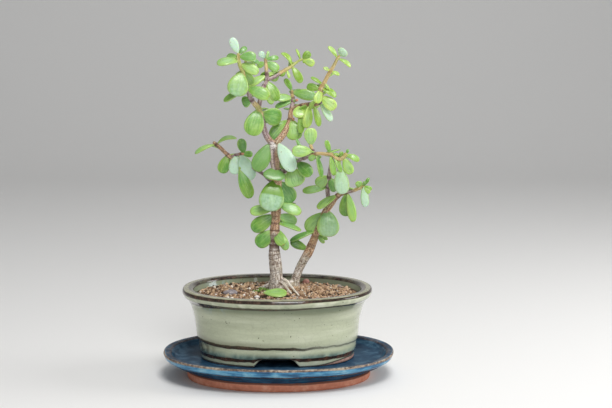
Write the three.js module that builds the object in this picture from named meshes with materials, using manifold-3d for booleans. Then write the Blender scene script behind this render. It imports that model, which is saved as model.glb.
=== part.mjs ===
// A dwarf jade grown as a bonsai, in an oval glazed pot on an oval glazed drip tray.
// Millimetres, +Z up, +Y away from the front. The origin is on the table, under the tray's centre.
import * as THREE from "three";
import { mergeVertices } from "three/addons/utils/BufferGeometryUtils.js";
import Module from "manifold-3d";

const wasm = await Module();
wasm.setup();

// Driving dimensions.
const clearance = 0.3; // between neighbours that touch or stand in one another
const ovalSegments = 32;
const potCentreX = -1;
const potFootZ = 16.4; // the pot stands on the tray's floor, which is at 16.1
const potRecessZ = 22.6; // underside of the pot's floor, between its feet
const potFloorZ = 27.2; // top of the pot's floor
const drainHoleX = 27; // two drain holes, left and right of the pot's centre
const drainHoleRadius = 6;
const feetGapWidth = 36; // gap between the feet, at the tray
const feetGapTopWidth = 25;
const screenSize = 19;
const screenThickness = 1.2;
const screenOpenings = 2; // along each side of the screen
const screenBarWidth = 1.6;
const soilEdgeZ = 67;
const soilMound = 3.2; // how far the soil stands higher round the trunk
const fineLeafLength = 17; // a shorter leaf has fewer sides
const smallLeafLength = 9.5; // and a small one fewer rings too

// The plant was measured from the front, 1.4 m away. A point keeps its place in that view
// at any depth, and depth is counted from the middle of the pot, away from the front.
const viewPoint = new THREE.Vector3(22, -1400, 345);

// Solids and meshes.
function solidFrom(geometry) {
  const plain = geometry.index ? geometry.toNonIndexed() : geometry.clone();
  const bare = new THREE.BufferGeometry();
  bare.setAttribute("position", plain.getAttribute("position"));
  const merged = mergeVertices(bare, 1e-4);
  const solid = new wasm.Manifold(
    new wasm.Mesh({
      numProp: 3,
      vertProperties: new Float32Array(merged.attributes.position.array),
      triVerts: new Uint32Array(merged.index.array),
    }),
  );
  return solid;
}

// The one body of a solid: its largest, without loose scraps or sealed hollows.
function oneBody(solid) {
  const bodies = solid.decompose();
  bodies.sort((one, other) => other.volume() - one.volume());
  return bodies[0];
}

function meshFrom(solid, name, colour, roughness) {
  const made = oneBody(solid).getMesh();
  const geometry = new THREE.BufferGeometry();
  const positions = new Float32Array(made.vertProperties);
  geometry.setAttribute("position", new THREE.BufferAttribute(positions, 3));
  geometry.setIndex(new THREE.BufferAttribute(new Uint32Array(made.triVerts), 1));
  const merged = mergeVertices(geometry, 1e-3);
  merged.computeVertexNormals();
  const material = new THREE.MeshStandardMaterial({ color: colour, roughness, metalness: 0 });
  const mesh = new THREE.Mesh(merged, material);
  mesh.name = name;
  return mesh;
}

function joined(solids) {
  return solids.reduce((whole, solid) => whole.add(solid));
}

// A repeatable draw between 0 and 1.
function draw(seed) {
  const wave = Math.sin(seed * 127.1 + 11.7) * 43758.5453;
  return wave - Math.floor(wave);
}

// Ovals.
// A solid from a stack of oval rings, each [half width, half depth, height], that runs from
// the axis below to the axis above. squareness 2 is an ellipse; more is fuller at the corners.
// A ring may have its own squareness as its fourth number.
function ovalSolid(rings, squareness, centreX) {
  const profile = rings.map(([a, , z]) => new THREE.Vector2(a, z));
  const lathe = new THREE.LatheGeometry(profile, ovalSegments);
  const position = lathe.getAttribute("position");
  for (let i = 0; i < position.count; i++) {
    const [a, b, z, fullness = squareness] = rings[i % rings.length];
    const turn = (Math.floor(i / rings.length) % ovalSegments) * ((2 * Math.PI) / ovalSegments);
    const reach = (part) => Math.sign(part) * Math.abs(part) ** (2 / fullness);
    const across = Math.abs(Math.sin(turn)) < 1e-9 ? 0 : reach(Math.sin(turn));
    const along = Math.abs(Math.cos(turn)) < 1e-9 ? 0 : reach(Math.cos(turn));
    position.setXYZ(i, centreX + a * along, b * across, z);
  }
  return solidFrom(lathe);
}

function boxSolid(width, depth, height, x, y, z) {
  const box = new THREE.BoxGeometry(width, depth, height);
  return solidFrom(box.translate(x, y, z));
}

// Drip tray. Its foot is rounder than its lip, and the lip rounder than the dish.
const footSquareness = 2.07;
const lipSquareness = 2.22;
const trayRings = [
  [0, 0, 11],
  [64, 47, 11],
  [67, 50, 10],
  [68.2, 51, 0],
  [73, 55.8, 0, footSquareness],
  [73.8, 56.6, 1, footSquareness],
  [74, 56.8, 7, footSquareness],
  [76.2, 58.5, 8, footSquareness],
  [83.2, 64.2, 11.8, lipSquareness],
  [90.2, 69.4, 15.8, lipSquareness],
  [91.4, 70.3, 16.7, lipSquareness],
  [92.8, 71.4, 20.3, lipSquareness],
  [92, 70.8, 21.2, lipSquareness],
  [86.8, 66, 21],
  [86, 65.2, 20.2],
  [83.4, 62.8, 17.2],
  [81, 60.6, 16.1],
  [0, 0, 16.1],
];

function dripTray() {
  return ovalSolid(trayRings, 2.3, 0);
}

// Pot.
const potRings = [
  [0, 0, potRecessZ],
  [53, 36, potRecessZ],
  [54.5, 37.4, potFootZ],
  [60.9, 43.4, potFootZ],
  [61.6, 43.9, 18],
  [62.4, 44.3, 22.9],
  [63.2, 44.9, 24],
  [63.4, 45, 30.8],
  [64.5, 45.8, 32],
  [65.2, 46.4, 36],
  [65.6, 46.8, 42],
  [66.4, 47.6, 49],
  [67.9, 49.6, 55],
  [69.5, 52, 60.4],
  [71.8, 55.2, 64.2],
  [74.6, 58.4, 66.4],
  [76.2, 60, 69.6],
  [75.6, 59.2, 72.2],
  [74, 57.4, 72.9],
  [69, 52.2, 72.9],
  [67, 50, 71.8],
  [64.4, 48, 64],
  [61.6, 44, 54],
  [60, 41.6, 40],
  [57.6, 39.4, 30],
  [54, 36, potFloorZ],
  [0, 0, potFloorZ],
];

function pot() {
  const half = feetGapWidth / 2;
  const halfTop = feetGapTopWidth / 2;
  const gap = new THREE.Shape();
  gap.moveTo(-half, potFootZ - 2);
  gap.lineTo(half, potFootZ - 2);
  gap.lineTo(half, potFootZ);
  gap.lineTo(halfTop + 1.5, potRecessZ - 1.6);
  gap.lineTo(halfTop - 1, potRecessZ);
  gap.lineTo(1 - halfTop, potRecessZ);
  gap.lineTo(-halfTop - 1.5, potRecessZ - 1.6);
  gap.lineTo(-half, potFootZ);
  const gapDepth = 120;
  const cut = new THREE.ExtrudeGeometry(gap, { depth: gapDepth, bevelEnabled: false });
  cut.rotateX(Math.PI / 2).translate(potCentreX, gapDepth / 2, 0);
  let body = ovalSolid(potRings, 2.2, potCentreX).subtract(solidFrom(cut));
  for (const side of [-1, 1]) {
    const hole = new THREE.CylinderGeometry(drainHoleRadius, drainHoleRadius, 12, 16);
    hole.rotateX(Math.PI / 2).translate(potCentreX + side * drainHoleX, 0, potFloorZ - 3);
    body = body.subtract(solidFrom(hole));
  }
  return body;
}

// A square of plastic mesh that lies over a drain hole and keeps the soil in.
function drainScreen(side) {
  const centreX = potCentreX + side * drainHoleX;
  const centreZ = potFloorZ + clearance + screenThickness / 2;
  const pitch = (screenSize - 2) / screenOpenings;
  const openingWidth = pitch - screenBarWidth;
  let plate = boxSolid(screenSize, screenSize, screenThickness, centreX, 0, centreZ);
  for (let i = 0; i < screenOpenings; i++) {
    for (let j = 0; j < screenOpenings; j++) {
      const x = centreX + (i - (screenOpenings - 1) / 2) * pitch;
      const y = (j - (screenOpenings - 1) / 2) * pitch;
      const tall = 2 * screenThickness;
      plate = plate.subtract(boxSolid(openingWidth, openingWidth, tall, x, y, centreZ));
    }
  }
  return plate;
}

// Soil and stones.
const soilRings = [
  [0, 0, potFloorZ + clearance],
  [53.6, 35.6, potFloorZ + clearance],
  [57.2, 39, 30.3],
  [59.6, 41.2, 40],
  [61.2, 43.6, 54],
  [64.9, 48.4, soilEdgeZ],
  [61, 45, soilEdgeZ + 0.5],
  [47, 34, soilEdgeZ + 1.2],
  [33, 23, soilEdgeZ + 2],
  [19, 13, soilEdgeZ + 2.8],
  [0, 0, soilEdgeZ + soilMound],
];
const soilTopRing = 6; // the rings from here on are the soil's surface
const soilBumpHeight = 0.7;

function soilBed() {
  const stack = ovalSolid(soilRings, 2.2, potCentreX).getMesh();
  const positions = stack.vertProperties;
  for (let i = 0; i < positions.length; i += 3) {
    const isSurface = positions[i + 2] > soilRings[soilTopRing][2] - 0.1;
    if (isSurface) {
      const place = Math.round(positions[i] * 7) + Math.round(positions[i + 1] * 13);
      positions[i + 2] += (draw(place) - 0.5) * 2 * soilBumpHeight;
    }
  }
  return new wasm.Manifold(
    new wasm.Mesh({ numProp: 3, vertProperties: positions, triVerts: stack.triVerts }),
  );
}

// A rough stone: a coarse ball with its corners moved in and out.
function stoneSolid({ x, y, z, size, seed }, extra) {
  const ball = new THREE.IcosahedronGeometry(1, 1);
  const position = ball.getAttribute("position");
  for (let i = 0; i < position.count; i++) {
    const corner = new THREE.Vector3().fromBufferAttribute(position, i);
    const place = Math.round(corner.x * 50) + Math.round(corner.y * 70) + Math.round(corner.z * 90);
    corner.multiplyScalar(0.88 + 0.2 * draw(place + seed));
    position.setXYZ(
      i,
      x + corner.x * (size[0] + extra),
      y + corner.y * (size[1] + extra),
      z + corner.z * (size[2] + extra),
    );
  }
  return solidFrom(ball);
}

const stones = {
  stone_grey: { x: -38, y: -8, z: 69.2, size: [6.2, 4.2, 2.9], seed: 3, colour: 0x77707c },
  stone_red: { x: 22, y: 35, z: 69.6, size: [3.2, 2.8, 2.9], seed: 5, colour: 0xb27e72 },
  stone_white: { x: -16.5, y: -26, z: 69.2, size: [2.4, 2, 1.7], seed: 8, colour: 0xd9d4cf },
};

// Stems and leaves.
// A point read in the front view, at a depth.
function inView(x, z, depth) {
  const reach = (depth - viewPoint.y) / -viewPoint.y;
  return new THREE.Vector3(
    viewPoint.x + (x - viewPoint.x) * reach,
    depth,
    viewPoint.z + (z - viewPoint.z) * reach,
  );
}

// A stem's path and its radii. Each row is [x, z, depth, radius], as read in the front view.
function stemOf(rows) {
  const curve = new THREE.CatmullRomCurve3(rows.map(([x, z, depth]) => inView(x, z, depth)));
  const radii = rows.map((row) => row[3]);
  const spans = rows.length - 1;
  const radiusAt = (t) => {
    const span = Math.min(Math.floor(t * spans), spans - 1);
    return THREE.MathUtils.lerp(radii[span], radii[span + 1], t * spans - span);
  };
  return { curve, spans, radiusAt };
}

// A round stem along its path: a cylinder's rings moved onto the curve, each turned to face
// along it. Its ends are flat. `extra` is how much thicker and longer at each end it is.
function stemSolid(rows, extra) {
  const { curve, spans, radiusAt } = stemOf(rows);
  const thickest = Math.max(...rows.map((row) => row[3]));
  const sides = thickest > 3.7 ? 9 : 6;
  const cylinder = new THREE.CylinderGeometry(1, 1, 1, sides, spans);
  const position = cylinder.getAttribute("position");
  for (let i = 0; i < position.count; i++) {
    const t = THREE.MathUtils.clamp(position.getY(i) + 0.5, 0, 1);
    const centre = curve.getPoint(t);
    const ahead = curve.getTangent(t);
    const outward = new THREE.Vector3(0, 1, 0).cross(ahead).normalize();
    const back = ahead.clone().cross(outward);
    const radius = radiusAt(t) + extra;
    centre.addScaledVector(ahead, t === 0 ? -extra : t === 1 ? extra : 0);
    centre.addScaledVector(outward, position.getX(i) * radius);
    centre.addScaledVector(back, -position.getZ(i) * radius);
    position.setXYZ(i, centre.x, centre.y, centre.z);
  }
  return solidFrom(cylinder);
}

// The share of its full width that a leaf has at t, from 0 at its root to 1 at its tip.
function leafOutline(t) {
  return (t ** 0.8 * (1 - t) ** 0.45) / 0.4418;
}

function leafSwell(t) {
  return (t ** 0.4 * (1 - t) ** 0.3) / 0.6153;
}

// Where a leaf's rings stand along it.
const fineStations = [0, 0.12, 0.38, 0.66, 0.88, 1];
const coarseStations = [0, 0.2, 0.6, 0.87, 1];

// A fleshy leaf from root to tip: a coarse ball drawn out along its length, flattened across
// `face`, and bowed towards it.
function leafSolid(root, tip, face, width, bow, isCoarse = false) {
  const along = tip.clone().sub(root);
  const length = along.length();
  const stations = isCoarse || length < smallLeafLength ? coarseStations : fineStations;
  const sides = isCoarse || length < fineLeafLength ? 4 : 6;
  const lastRing = stations.length - 1;
  const side = along.clone().cross(face).normalize();
  const normal = side.clone().cross(along).normalize();
  const thickness = 1 + 0.06 * length;
  const ball = new THREE.SphereGeometry(1, sides, lastRing);
  const position = ball.getAttribute("position");
  for (let i = 0; i < position.count; i++) {
    const ring = Math.floor(i / (sides + 1));
    const turn = ((i % (sides + 1)) % sides) * ((2 * Math.PI) / sides);
    const t = stations[ring];
    const isEnd = ring === 0 || ring === lastRing;
    const across = Math.sign(Math.cos(turn)) * Math.abs(Math.cos(turn)) ** 0.7;
    const halfWidth = isEnd ? 0 : (across * width * leafOutline(t)) / 2;
    const halfThickness = isEnd ? 0 : (Math.sin(turn) * thickness * leafSwell(t)) / 2;
    const point = root.clone().addScaledVector(along, t);
    point.addScaledVector(side, halfWidth);
    point.addScaledVector(normal, halfThickness + bow * 4 * t * (1 - t));
    position.setXYZ(i, point.x, point.y, point.z);
  }
  return solidFrom(ball);
}

// A leaf seen in the front view: [root x, root z, tip x, tip z, out, width, roll, bow].
// `out` is how much nearer the tip is than the root. Unrolled, its face is to the front;
// `roll` degrees turn the face upwards. `bow` arches it towards its face.
function viewedLeaf(stem, [rootX, rootZ, tipX, tipZ, out, width, roll = 0, bow = 0.6]) {
  let nearest = stem.curve.getPoint(0);
  let least = Infinity;
  const steps = 80;
  for (let i = 0; i < steps; i++) {
    const point = stem.curve.getPoint(i / steps);
    const read = inView(rootX, rootZ, point.y);
    if (read.distanceTo(point) < least) {
      least = read.distanceTo(point);
      nearest = point;
    }
  }
  const root = nearest.clone().lerp(inView(rootX, rootZ, nearest.y), 0.4);
  const tip = inView(tipX, tipZ, nearest.y - out);
  const along = tip.clone().sub(root).normalize();
  const toFront = viewPoint.clone().sub(tip).normalize();
  const aside = along.clone().cross(toFront).normalize();
  const facing = aside.clone().cross(along).normalize();
  const isDownward = Math.abs(aside.z) > 0.3 ? aside.z < 0 : aside.x < 0;
  const turn = THREE.MathUtils.degToRad(roll);
  const face = facing.multiplyScalar(Math.cos(turn));
  face.addScaledVector(aside, (isDownward ? -1 : 1) * Math.sin(turn));
  return leafSolid(root, tip, face, width, bow);
}

// The leaves of a stem's far side, which the front view hides: pairs that lean to either
// side of straight back and hang a little, their faces up.
function rearLeaves(stem, { count, length, width, from, to, seed }) {
  const leaves = [];
  for (let i = 0; i < count; i++) {
    const t = from + ((to - from) * (i + 0.5)) / count;
    const root = stem.curve.getPoint(t);
    const lean = (i % 2 === 0 ? -1 : 1) * (0.25 + 0.9 * draw(seed + i));
    const droop = -0.9 + 1.2 * draw(seed + i + 50);
    const reach = length * (0.8 + 0.35 * draw(seed + i + 90));
    const way = new THREE.Vector3(Math.sin(lean), Math.cos(lean), droop).normalize();
    const tip = root.clone().addScaledVector(way, reach);
    const face = new THREE.Vector3(-0.3 * way.x, 0.25, 1);
    const size = width * (reach / length);
    leaves.push(leafSolid(root, tip, face, size, 0.8, true));
  }
  return leaves;
}

function plantSolid({ stems, leaves, rear }) {
  const main = stemOf(stems[0]);
  const wood = stems.map((rows) => stemSolid(rows, 0));
  const nearestStem = (row) => {
    const paths = stems.map(stemOf);
    const distances = paths.map((path) => {
      let least = Infinity;
      for (let i = 0; i <= 40; i++) {
        const point = path.curve.getPoint(i / 40);
        least = Math.min(least, inView(row[0], row[1], point.y).distanceTo(point));
      }
      return least;
    });
    return paths[distances.indexOf(Math.min(...distances))];
  };
  const blades = leaves.map((row) => viewedLeaf(nearestStem(row), row));
  const hidden = rear.flatMap((group) => rearLeaves(main, group));
  return joined([...wood, ...blades, ...hidden]);
}

// The wood alone, swelled by the clearance: what a neighbour's root end is cut back by.
function woodSolid({ stems }) {
  return joined(stems.map((rows) => stemSolid(rows, clearance + 0.05)));
}

// The plant, stem by stem.
// The upright trunk, the leaning trunk that shares its root flare, the roots, and the leaves
// that grow straight from them.
const trunk = {
  stems: [
    [
      [-1.5, 60, 0, 5.2],
      [-1.7, 68, 0, 6],
      [-1.7, 74, 0, 5.8],
      [-1.8, 80, 0, 5.2],
      [-1.9, 85, 0, 5.1],
      [-2.4, 91, 0, 5.2],
      [-3.2, 99, 0, 4.9],
      [-3.3, 104, 0, 4.2],
      [-3.2, 111, 0.3, 3.9],
      [-2.9, 117, 0.5, 4.2],
      [-2.6, 123, 0.6, 3.8],
      [-2, 129, 0.8, 3.6],
      [-1.9, 133, 0.9, 4.1],
      [-1.3, 141, 0.6, 3.4],
      [-0.6, 152, 0.2, 3.4],
      [-0.7, 160, 0, 3.5],
      [-2.3, 169, 0, 3.6],
      [-3.3, 178, 0, 4],
      [-3.4, 184.5, 0, 4.1],
      [-3.5, 189, 0, 4.1],
    ],
    [
      [8, 66, 10, 3.6],
      [12, 73, 13, 4],
      [13.9, 79.5, 14, 3.6],
      [16.8, 87.5, 14.5, 3.4],
      [20, 93.8, 14.5, 3.5],
      [23.5, 99.8, 14.5, 3.9],
      [25.2, 103.4, 14.3, 3.8],
      [27, 107.6, 14, 3.5],
      [29.3, 113.4, 13.5, 3.2],
      [31.2, 118.8, 13, 2.8],
      [33.4, 124, 12.5, 2.7],
      [35.8, 129.8, 12, 2.8],
      [38.2, 134.2, 11.5, 3],
      [39.6, 136.6, 11, 2.7],
    ],
    [
      [-2, 73, 1, 4.4],
      [5, 74.2, 7, 3.8],
      [12, 75, 13, 3.6],
    ],
    [
      [1, 79, -1.5, 2],
      [5.3, 78, -4, 1.4],
      [9, 74.2, -8, 1.05],
      [12.4, 70, -12.5, 0.9],
      [15.6, 66.2, -17, 0.8],
      [17.5, 63.2, -20, 0.6],
    ],
    [
      [2, 76.5, -3, 1.7],
      [5.4, 73.2, -7, 1.1],
      [8, 70, -11, 0.9],
      [10.6, 66.6, -15, 0.7],
    ],
    [
      [-3, 75, 1, 3.6],
      [-9, 72.5, 3, 2.6],
      [-16, 70.4, 7, 1.8],
      [-24, 68.4, 12, 1.1],
    ],
    [
      [-2, 74, 3, 3.4],
      [-3, 75.6, 10, 2.4],
      [-1, 75.6, 18, 1.6],
      [3, 75.4, 27, 1],
    ],
  ],
  leaves: [
    [-5.2, 118, -17.2, 105.8, 2, 12.4],
    [-5, 131, -21.2, 118.6, 2, 12.6],
    [-4.8, 136.6, -22.6, 133.2, 1, 10.5, 35],
    [-5, 159, -7.4, 133.8, 9, 20.2, 0, 1.6],
    [2, 158.2, 11.2, 140.8, -2, 14.4],
    [1.4, 139.5, 18.2, 132.3, 4, 9.6, 20, 1],
    [0.8, 130.4, 14.6, 124.8, -4, 9.4],
    [0.8, 123.8, 18.2, 118, 2, 7, 58, 1],
    [1.2, 119.4, 6.8, 102.4, 1, 8.6, 25],
    [-2.2, 116.8, 4.2, 106.4, 9, 9.4],
    [-8.6, 189.4, -18.4, 166, 4, 13.6, 0, 1],
    [-2.5, 169, -4, 158.4, 10, 17.8, 0, 1],
    [5.4, 189.2, 12.2, 165.8, 12, 12.6, 0, 1.6],
    [36, 133.4, 23.2, 116.8, -3, 14.6],
    [39.4, 134.8, 39.8, 112.8, 9, 18.4, 0, 1.4],
    [29.5, 118.4, 9.2, 109.6, 2, 6.6, 50, 1],
    [22, 103.4, 9.6, 109.4, 1, 7.4, 10],
    [31.8, 114.2, 39.4, 111, 2, 3.2],
    [32.6, 113.6, 36.7, 108, 3, 3.8],
  ],
  rear: [{ count: 8, length: 18, width: 13, from: 0.42, to: 0.98, seed: 261 }],
};

const crownLeft = {
  stems: [
    [
      [-3.6, 187, 0, 2.6],
      [-7.6, 191.5, -1, 2.6],
      [-10.4, 197, -2, 2.4],
      [-11.8, 202.6, -3.5, 2.3],
      [-13.4, 209, -5, 2.2],
      [-15.6, 216, -6.5, 2.3],
      [-18.6, 219.4, -8, 2],
      [-21.2, 223.2, -9.5, 1.8],
      [-23.5, 228.2, -11.5, 1.7],
      [-25, 233, -13, 1.4],
      [-26.3, 238.2, -14.5, 1.3],
      [-27.4, 243.6, -15.5, 1.4],
      [-29.6, 248.6, -16.5, 1.5],
      [-31, 254, -17, 1.4],
      [-31.2, 259.4, -17.5, 1.1],
    ],
    [
      [-27.2, 244.8, -15.5, 1.2],
      [-25.8, 250, -13, 1.2],
      [-25.2, 255, -11, 1],
    ],
  ],
  leaves: [
    [-29.6, 244, -33.8, 225.6, 6, 16.8, 0, 1.4],
    [-24.6, 232, -43, 221.6, -4, 7, 45],
    [-30.6, 253, -48.2, 251, 3, 8.4, 40, 1.8],
    [-31, 256.6, -40.4, 256.6, -5, 5.4, 20],
    [-31.2, 259.4, -36.6, 271.8, 1, 7],
    [-31, 258.8, -24.6, 264, -3, 4.8, 20],
    [-29.8, 256.6, -17.2, 256.2, 3, 8.6, 15, 1],
    [-28, 250.6, -15.2, 244, 4, 8.4, 10, 1],
    [-25.2, 254.6, -14.6, 251.6, 1, 4, 30, 1],
    [-26.8, 245.8, -20.4, 235, -3, 8],
    [-24.6, 231.8, -6.8, 224.6, 5, 10.4, 15, 1.4],
    [-20.4, 222.6, -28.4, 220.2, -4, 9.4],
    [-16.2, 215.2, -21.2, 194.2, 6, 15.8, 0, 1.4],
    [-12.6, 212.6, 2.4, 207.4, -9, 14.6, 0, 1],
  ],
  rear: [
    { count: 4, length: 15, width: 11, from: 0.12, to: 0.38, seed: 44 },
    { count: 3, length: 12, width: 8.5, from: 0.78, to: 0.98, seed: 218 },
  ],
};

const crownMiddle = {
  stems: [
    [
      [-15.6, 215.6, -6.5, 1.9],
      [-14.4, 221, -4.5, 1.9],
      [-13.9, 225, -2, 1.8],
      [-12.8, 229, 1, 1.7],
      [-11.3, 233.1, 4.5, 1.6],
      [-9.1, 237.2, 8, 1.6],
      [-8.8, 241.5, 9.5, 1.5],
      [-9.1, 245, 11.5, 1.5],
      [-9.4, 250, 13.5, 1.4],
      [-10, 255.4, 16.5, 1],
    ],
  ],
  leaves: [
    [-10, 254.8, -14.5, 260.4, 1, 5.2],
    [-9.5, 253.4, -7.6, 261, 0, 3.2, 45],
    [-9.2, 254, 0.6, 255.8, -1, 4.6, 20, 1],
    [-9.3, 252.4, 0.6, 246, 3, 7.6, 10],
    [-9.8, 251.6, -16.4, 249, -2, 5.6, 20],
    [-8.9, 243, 0.6, 240.2, -8, 9],
    [-9.3, 241.7, -23.8, 233.6, 3, 7.4, 30],
    [-8.7, 237.6, -0.6, 221.8, 4, 10.2, 15, 1],
    [-10.5, 233, -4.6, 219, 1, 6],
  ],
  rear: [{ count: 6, length: 12, width: 8.5, from: 0.25, to: 0.95, seed: 201 }],
};

const crownTwig = {
  stems: [
    [
      [-9, 238.6, 9, 1.4],
      [-4.5, 239.8, 11, 1.5],
      [-0.9, 241.9, 13, 1.45],
      [2, 243.8, 15, 1.4],
      [6, 246.2, 16.5, 1.4],
      [10.5, 248.8, 18.5, 1.35],
      [13.9, 251.7, 20, 1.1],
      [17.8, 254, 21, 0.95],
      [20.4, 254.6, 22, 0.8],
    ],
  ],
  leaves: [
    [10.4, 249.4, 2.6, 259.6, -1, 5.4, 50, 2.8],
    [17.4, 254, 14.2, 262.6, 0, 2.8, 50],
    [19.5, 254, 25, 260.3, 1, 6.8],
    [19.4, 254.4, 28.7, 250.5, 2, 6.6],
    [20, 254.4, 20.2, 251.4, 1, 1.8],
    [11.6, 248.4, 18.4, 236, 2, 7, 15, 1.2],
    [6, 246.2, 1.6, 241.4, 1, 5],
    [6.6, 246, 8.8, 239.4, 2, 3.4, 45],
  ],
  rear: [{ count: 4, length: 11, width: 7.5, from: 0.42, to: 0.92, seed: 66 }],
};

const crownRight = {
  stems: [
    [
      [-2.6, 187.4, 0, 2.7],
      [2.6, 193.2, 3, 2.7],
      [5.6, 197.6, 5.5, 2.6],
      [8, 202.4, 9, 2.5],
      [9.6, 207, 12.5, 2.3],
      [9.8, 211, 15, 2],
      [10.5, 215.4, 17.5, 1.8],
      [11.4, 219.4, 19.5, 1.7],
      [11.7, 223, 20.5, 1.6],
      [11.1, 227, 21.5, 1.4],
      [10.8, 230.4, 22, 1],
    ],
    [
      [9.4, 205, 11, 1.1],
      [12.6, 207.6, 8, 0.95],
    ],
    [
      [11.6, 221.4, 20, 1],
      [15.6, 222.4, 16.5, 1.05],
    ],
  ],
  leaves: [
    [10.8, 229.6, 5.2, 239.2, 1, 5.4, 25, 1.2],
    [11.2, 228.4, 29.8, 225.2, 4, 9.4, 10, 1.2],
    [11.5, 224.2, -1.6, 224, 3, 7.6, 30],
    [11.5, 221.4, -2.4, 216.6, 0, 5.8, 35],
    [11, 228.2, 18.2, 229.6, -3, 4.4],
    [8.8, 206.8, -5.4, 191, 7, 13.6, 0, 1.4],
    [11.6, 206.6, 13.2, 190.6, 4, 13.6, 0, 1.2],
  ],
  rear: [{ count: 6, length: 14, width: 10, from: 0.3, to: 0.96, seed: 338 }],
};

const rightHigh = {
  stems: [
    [
      [10.6, 215, 17.5, 1.4],
      [15, 217, 13, 1.5],
      [22, 218.8, 5.5, 1.6],
      [27, 219, 0, 1.6],
      [31, 219.3, -4.5, 1.6],
      [33.6, 221.6, -7.5, 1.7],
      [34, 225, -9, 1.8],
      [33.4, 228.6, -9.5, 1.9],
      [34, 232, -10.5, 1.9],
      [35.7, 234.7, -11, 1.7],
      [37.4, 238, -12, 1.6],
      [39.1, 241.6, -13, 1.5],
      [41.3, 245.2, -13.5, 1.5],
      [43.6, 249, -14.5, 1.35],
      [45.6, 252.8, -15.5, 1.2],
      [47, 255.6, -16.5, 1.1],
      [48.8, 257.8, -17, 0.8],
    ],
    [
      [33.8, 226.4, -9, 1],
      [38.4, 228.9, -11, 1],
    ],
  ],
  leaves: [
    [17, 218.2, 16.4, 208, 8, 10.8, 0, 1],
    [19, 218, 17.6, 195.6, 8, 6.6, 15],
    [24.6, 218.4, 22, 200, 3, 8.4, 15],
    [28, 219, 32.6, 201.4, 1, 6.6, 35],
    [33, 220.4, 42.2, 205.6, 4, 6.4, 20, 1.2],
    [34.2, 225.4, 45.1, 215.2, 4, 9.8, 10, 1],
    [34.4, 231.4, 45.8, 225, 0, 6.4, 35, 2],
    [33.2, 231, 22.6, 233.4, -3, 6.8, 10],
    [33, 230.8, 30.2, 219.8, 5, 7.2, 10],
    [35.6, 234.2, 25.8, 240.4, -2, 3.8, 40],
    [36.4, 235.6, 40, 230.8, 2, 2.8],
    [41.2, 245.2, 35.6, 247.8, 1, 3.6, 35],
    [41.4, 245, 48.4, 242, 1, 3.8, 35],
    [46.8, 255.2, 39.4, 264.6, 0, 4.6, 40, 1.2],
    [48.6, 257.4, 52.6, 262.2, 4, 8.8],
    [47.2, 254.8, 57.2, 248.4, 1, 4.2, 40, 1.8],
  ],
  rear: [{ count: 6, length: 13.5, width: 9.5, from: 0.1, to: 0.7, seed: 122 }],
};

const rightMiddle = {
  stems: [
    [
      [-1, 167, 0, 1.6],
      [4.8, 165.8, -0.5, 1.6],
      [9, 168, -2, 1.5],
      [13, 172, -5.5, 1.4],
      [16.8, 174.8, -9, 1.4],
      [22, 176.6, -14, 1.4],
      [27, 178.9, -17.5, 1.4],
      [31.4, 179.9, -20.5, 1.4],
      [37, 179.6, -23.5, 1.4],
      [41, 179.3, -24.5, 1.4],
      [44.2, 178, -26, 1.5],
      [47, 175.6, -27.5, 1.7],
      [50, 176, -28.5, 1.9],
      [52.4, 178, -30, 1.7],
      [54.6, 180.4, -31, 1.2],
    ],
    [
      [29.8, 179.6, -20, 1.2],
      [27.4, 182.8, -17.5, 1.1],
      [25.9, 185.6, -16.5, 1.3],
      [25.8, 187.4, -15.5, 1],
    ],
    [
      [48.6, 176, -27.5, 1],
      [48.9, 168, -29.5, 0.9],
    ],
  ],
  leaves: [
    [15.2, 173, 26.2, 162.4, 8, 10.8, 0, 1],
    [10.4, 168.6, 14.8, 153.6, 4, 16.8, 0, 1],
    [30.4, 179, 34.5, 161, 3, 5.4, 40, 0.8],
    [26.6, 181, 10.8, 181.8, 2, 9.8, 10],
    [20, 177.4, 14.1, 191.8, 1, 3.6, 45],
    [25.8, 186, 25.6, 200.4, -1, 10.6],
    [31, 178.8, 24.2, 174.8, -3, 5],
    [41, 180.2, 37.9, 190.6, 1, 4.6, 15],
    [43, 180, 48.4, 177, 1, 3.4, 35, 1.8],
    [50, 177, 49.7, 181.6, 2, 3.8],
    [54.4, 179.6, 55.4, 183.4, 0, 2.6],
    [54, 178.8, 64.3, 174.2, 2, 5.4, 20, 1.4],
    [52.2, 176.4, 57.8, 163.4, 2, 8.2],
    [41.3, 178.8, 44.2, 162.2, 3, 5.8, 25],
    [44.4, 177.4, 50, 164.8, 5, 4.6, 30],
    [48.9, 169.4, 51.2, 147.4, 3, 12, 0, 1.2],
    [4.8, 166, 1.4, 174, -5, 5],
  ],
  rear: [{ count: 7, length: 14, width: 10, from: 0.25, to: 0.95, seed: 36 }],
};

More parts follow.
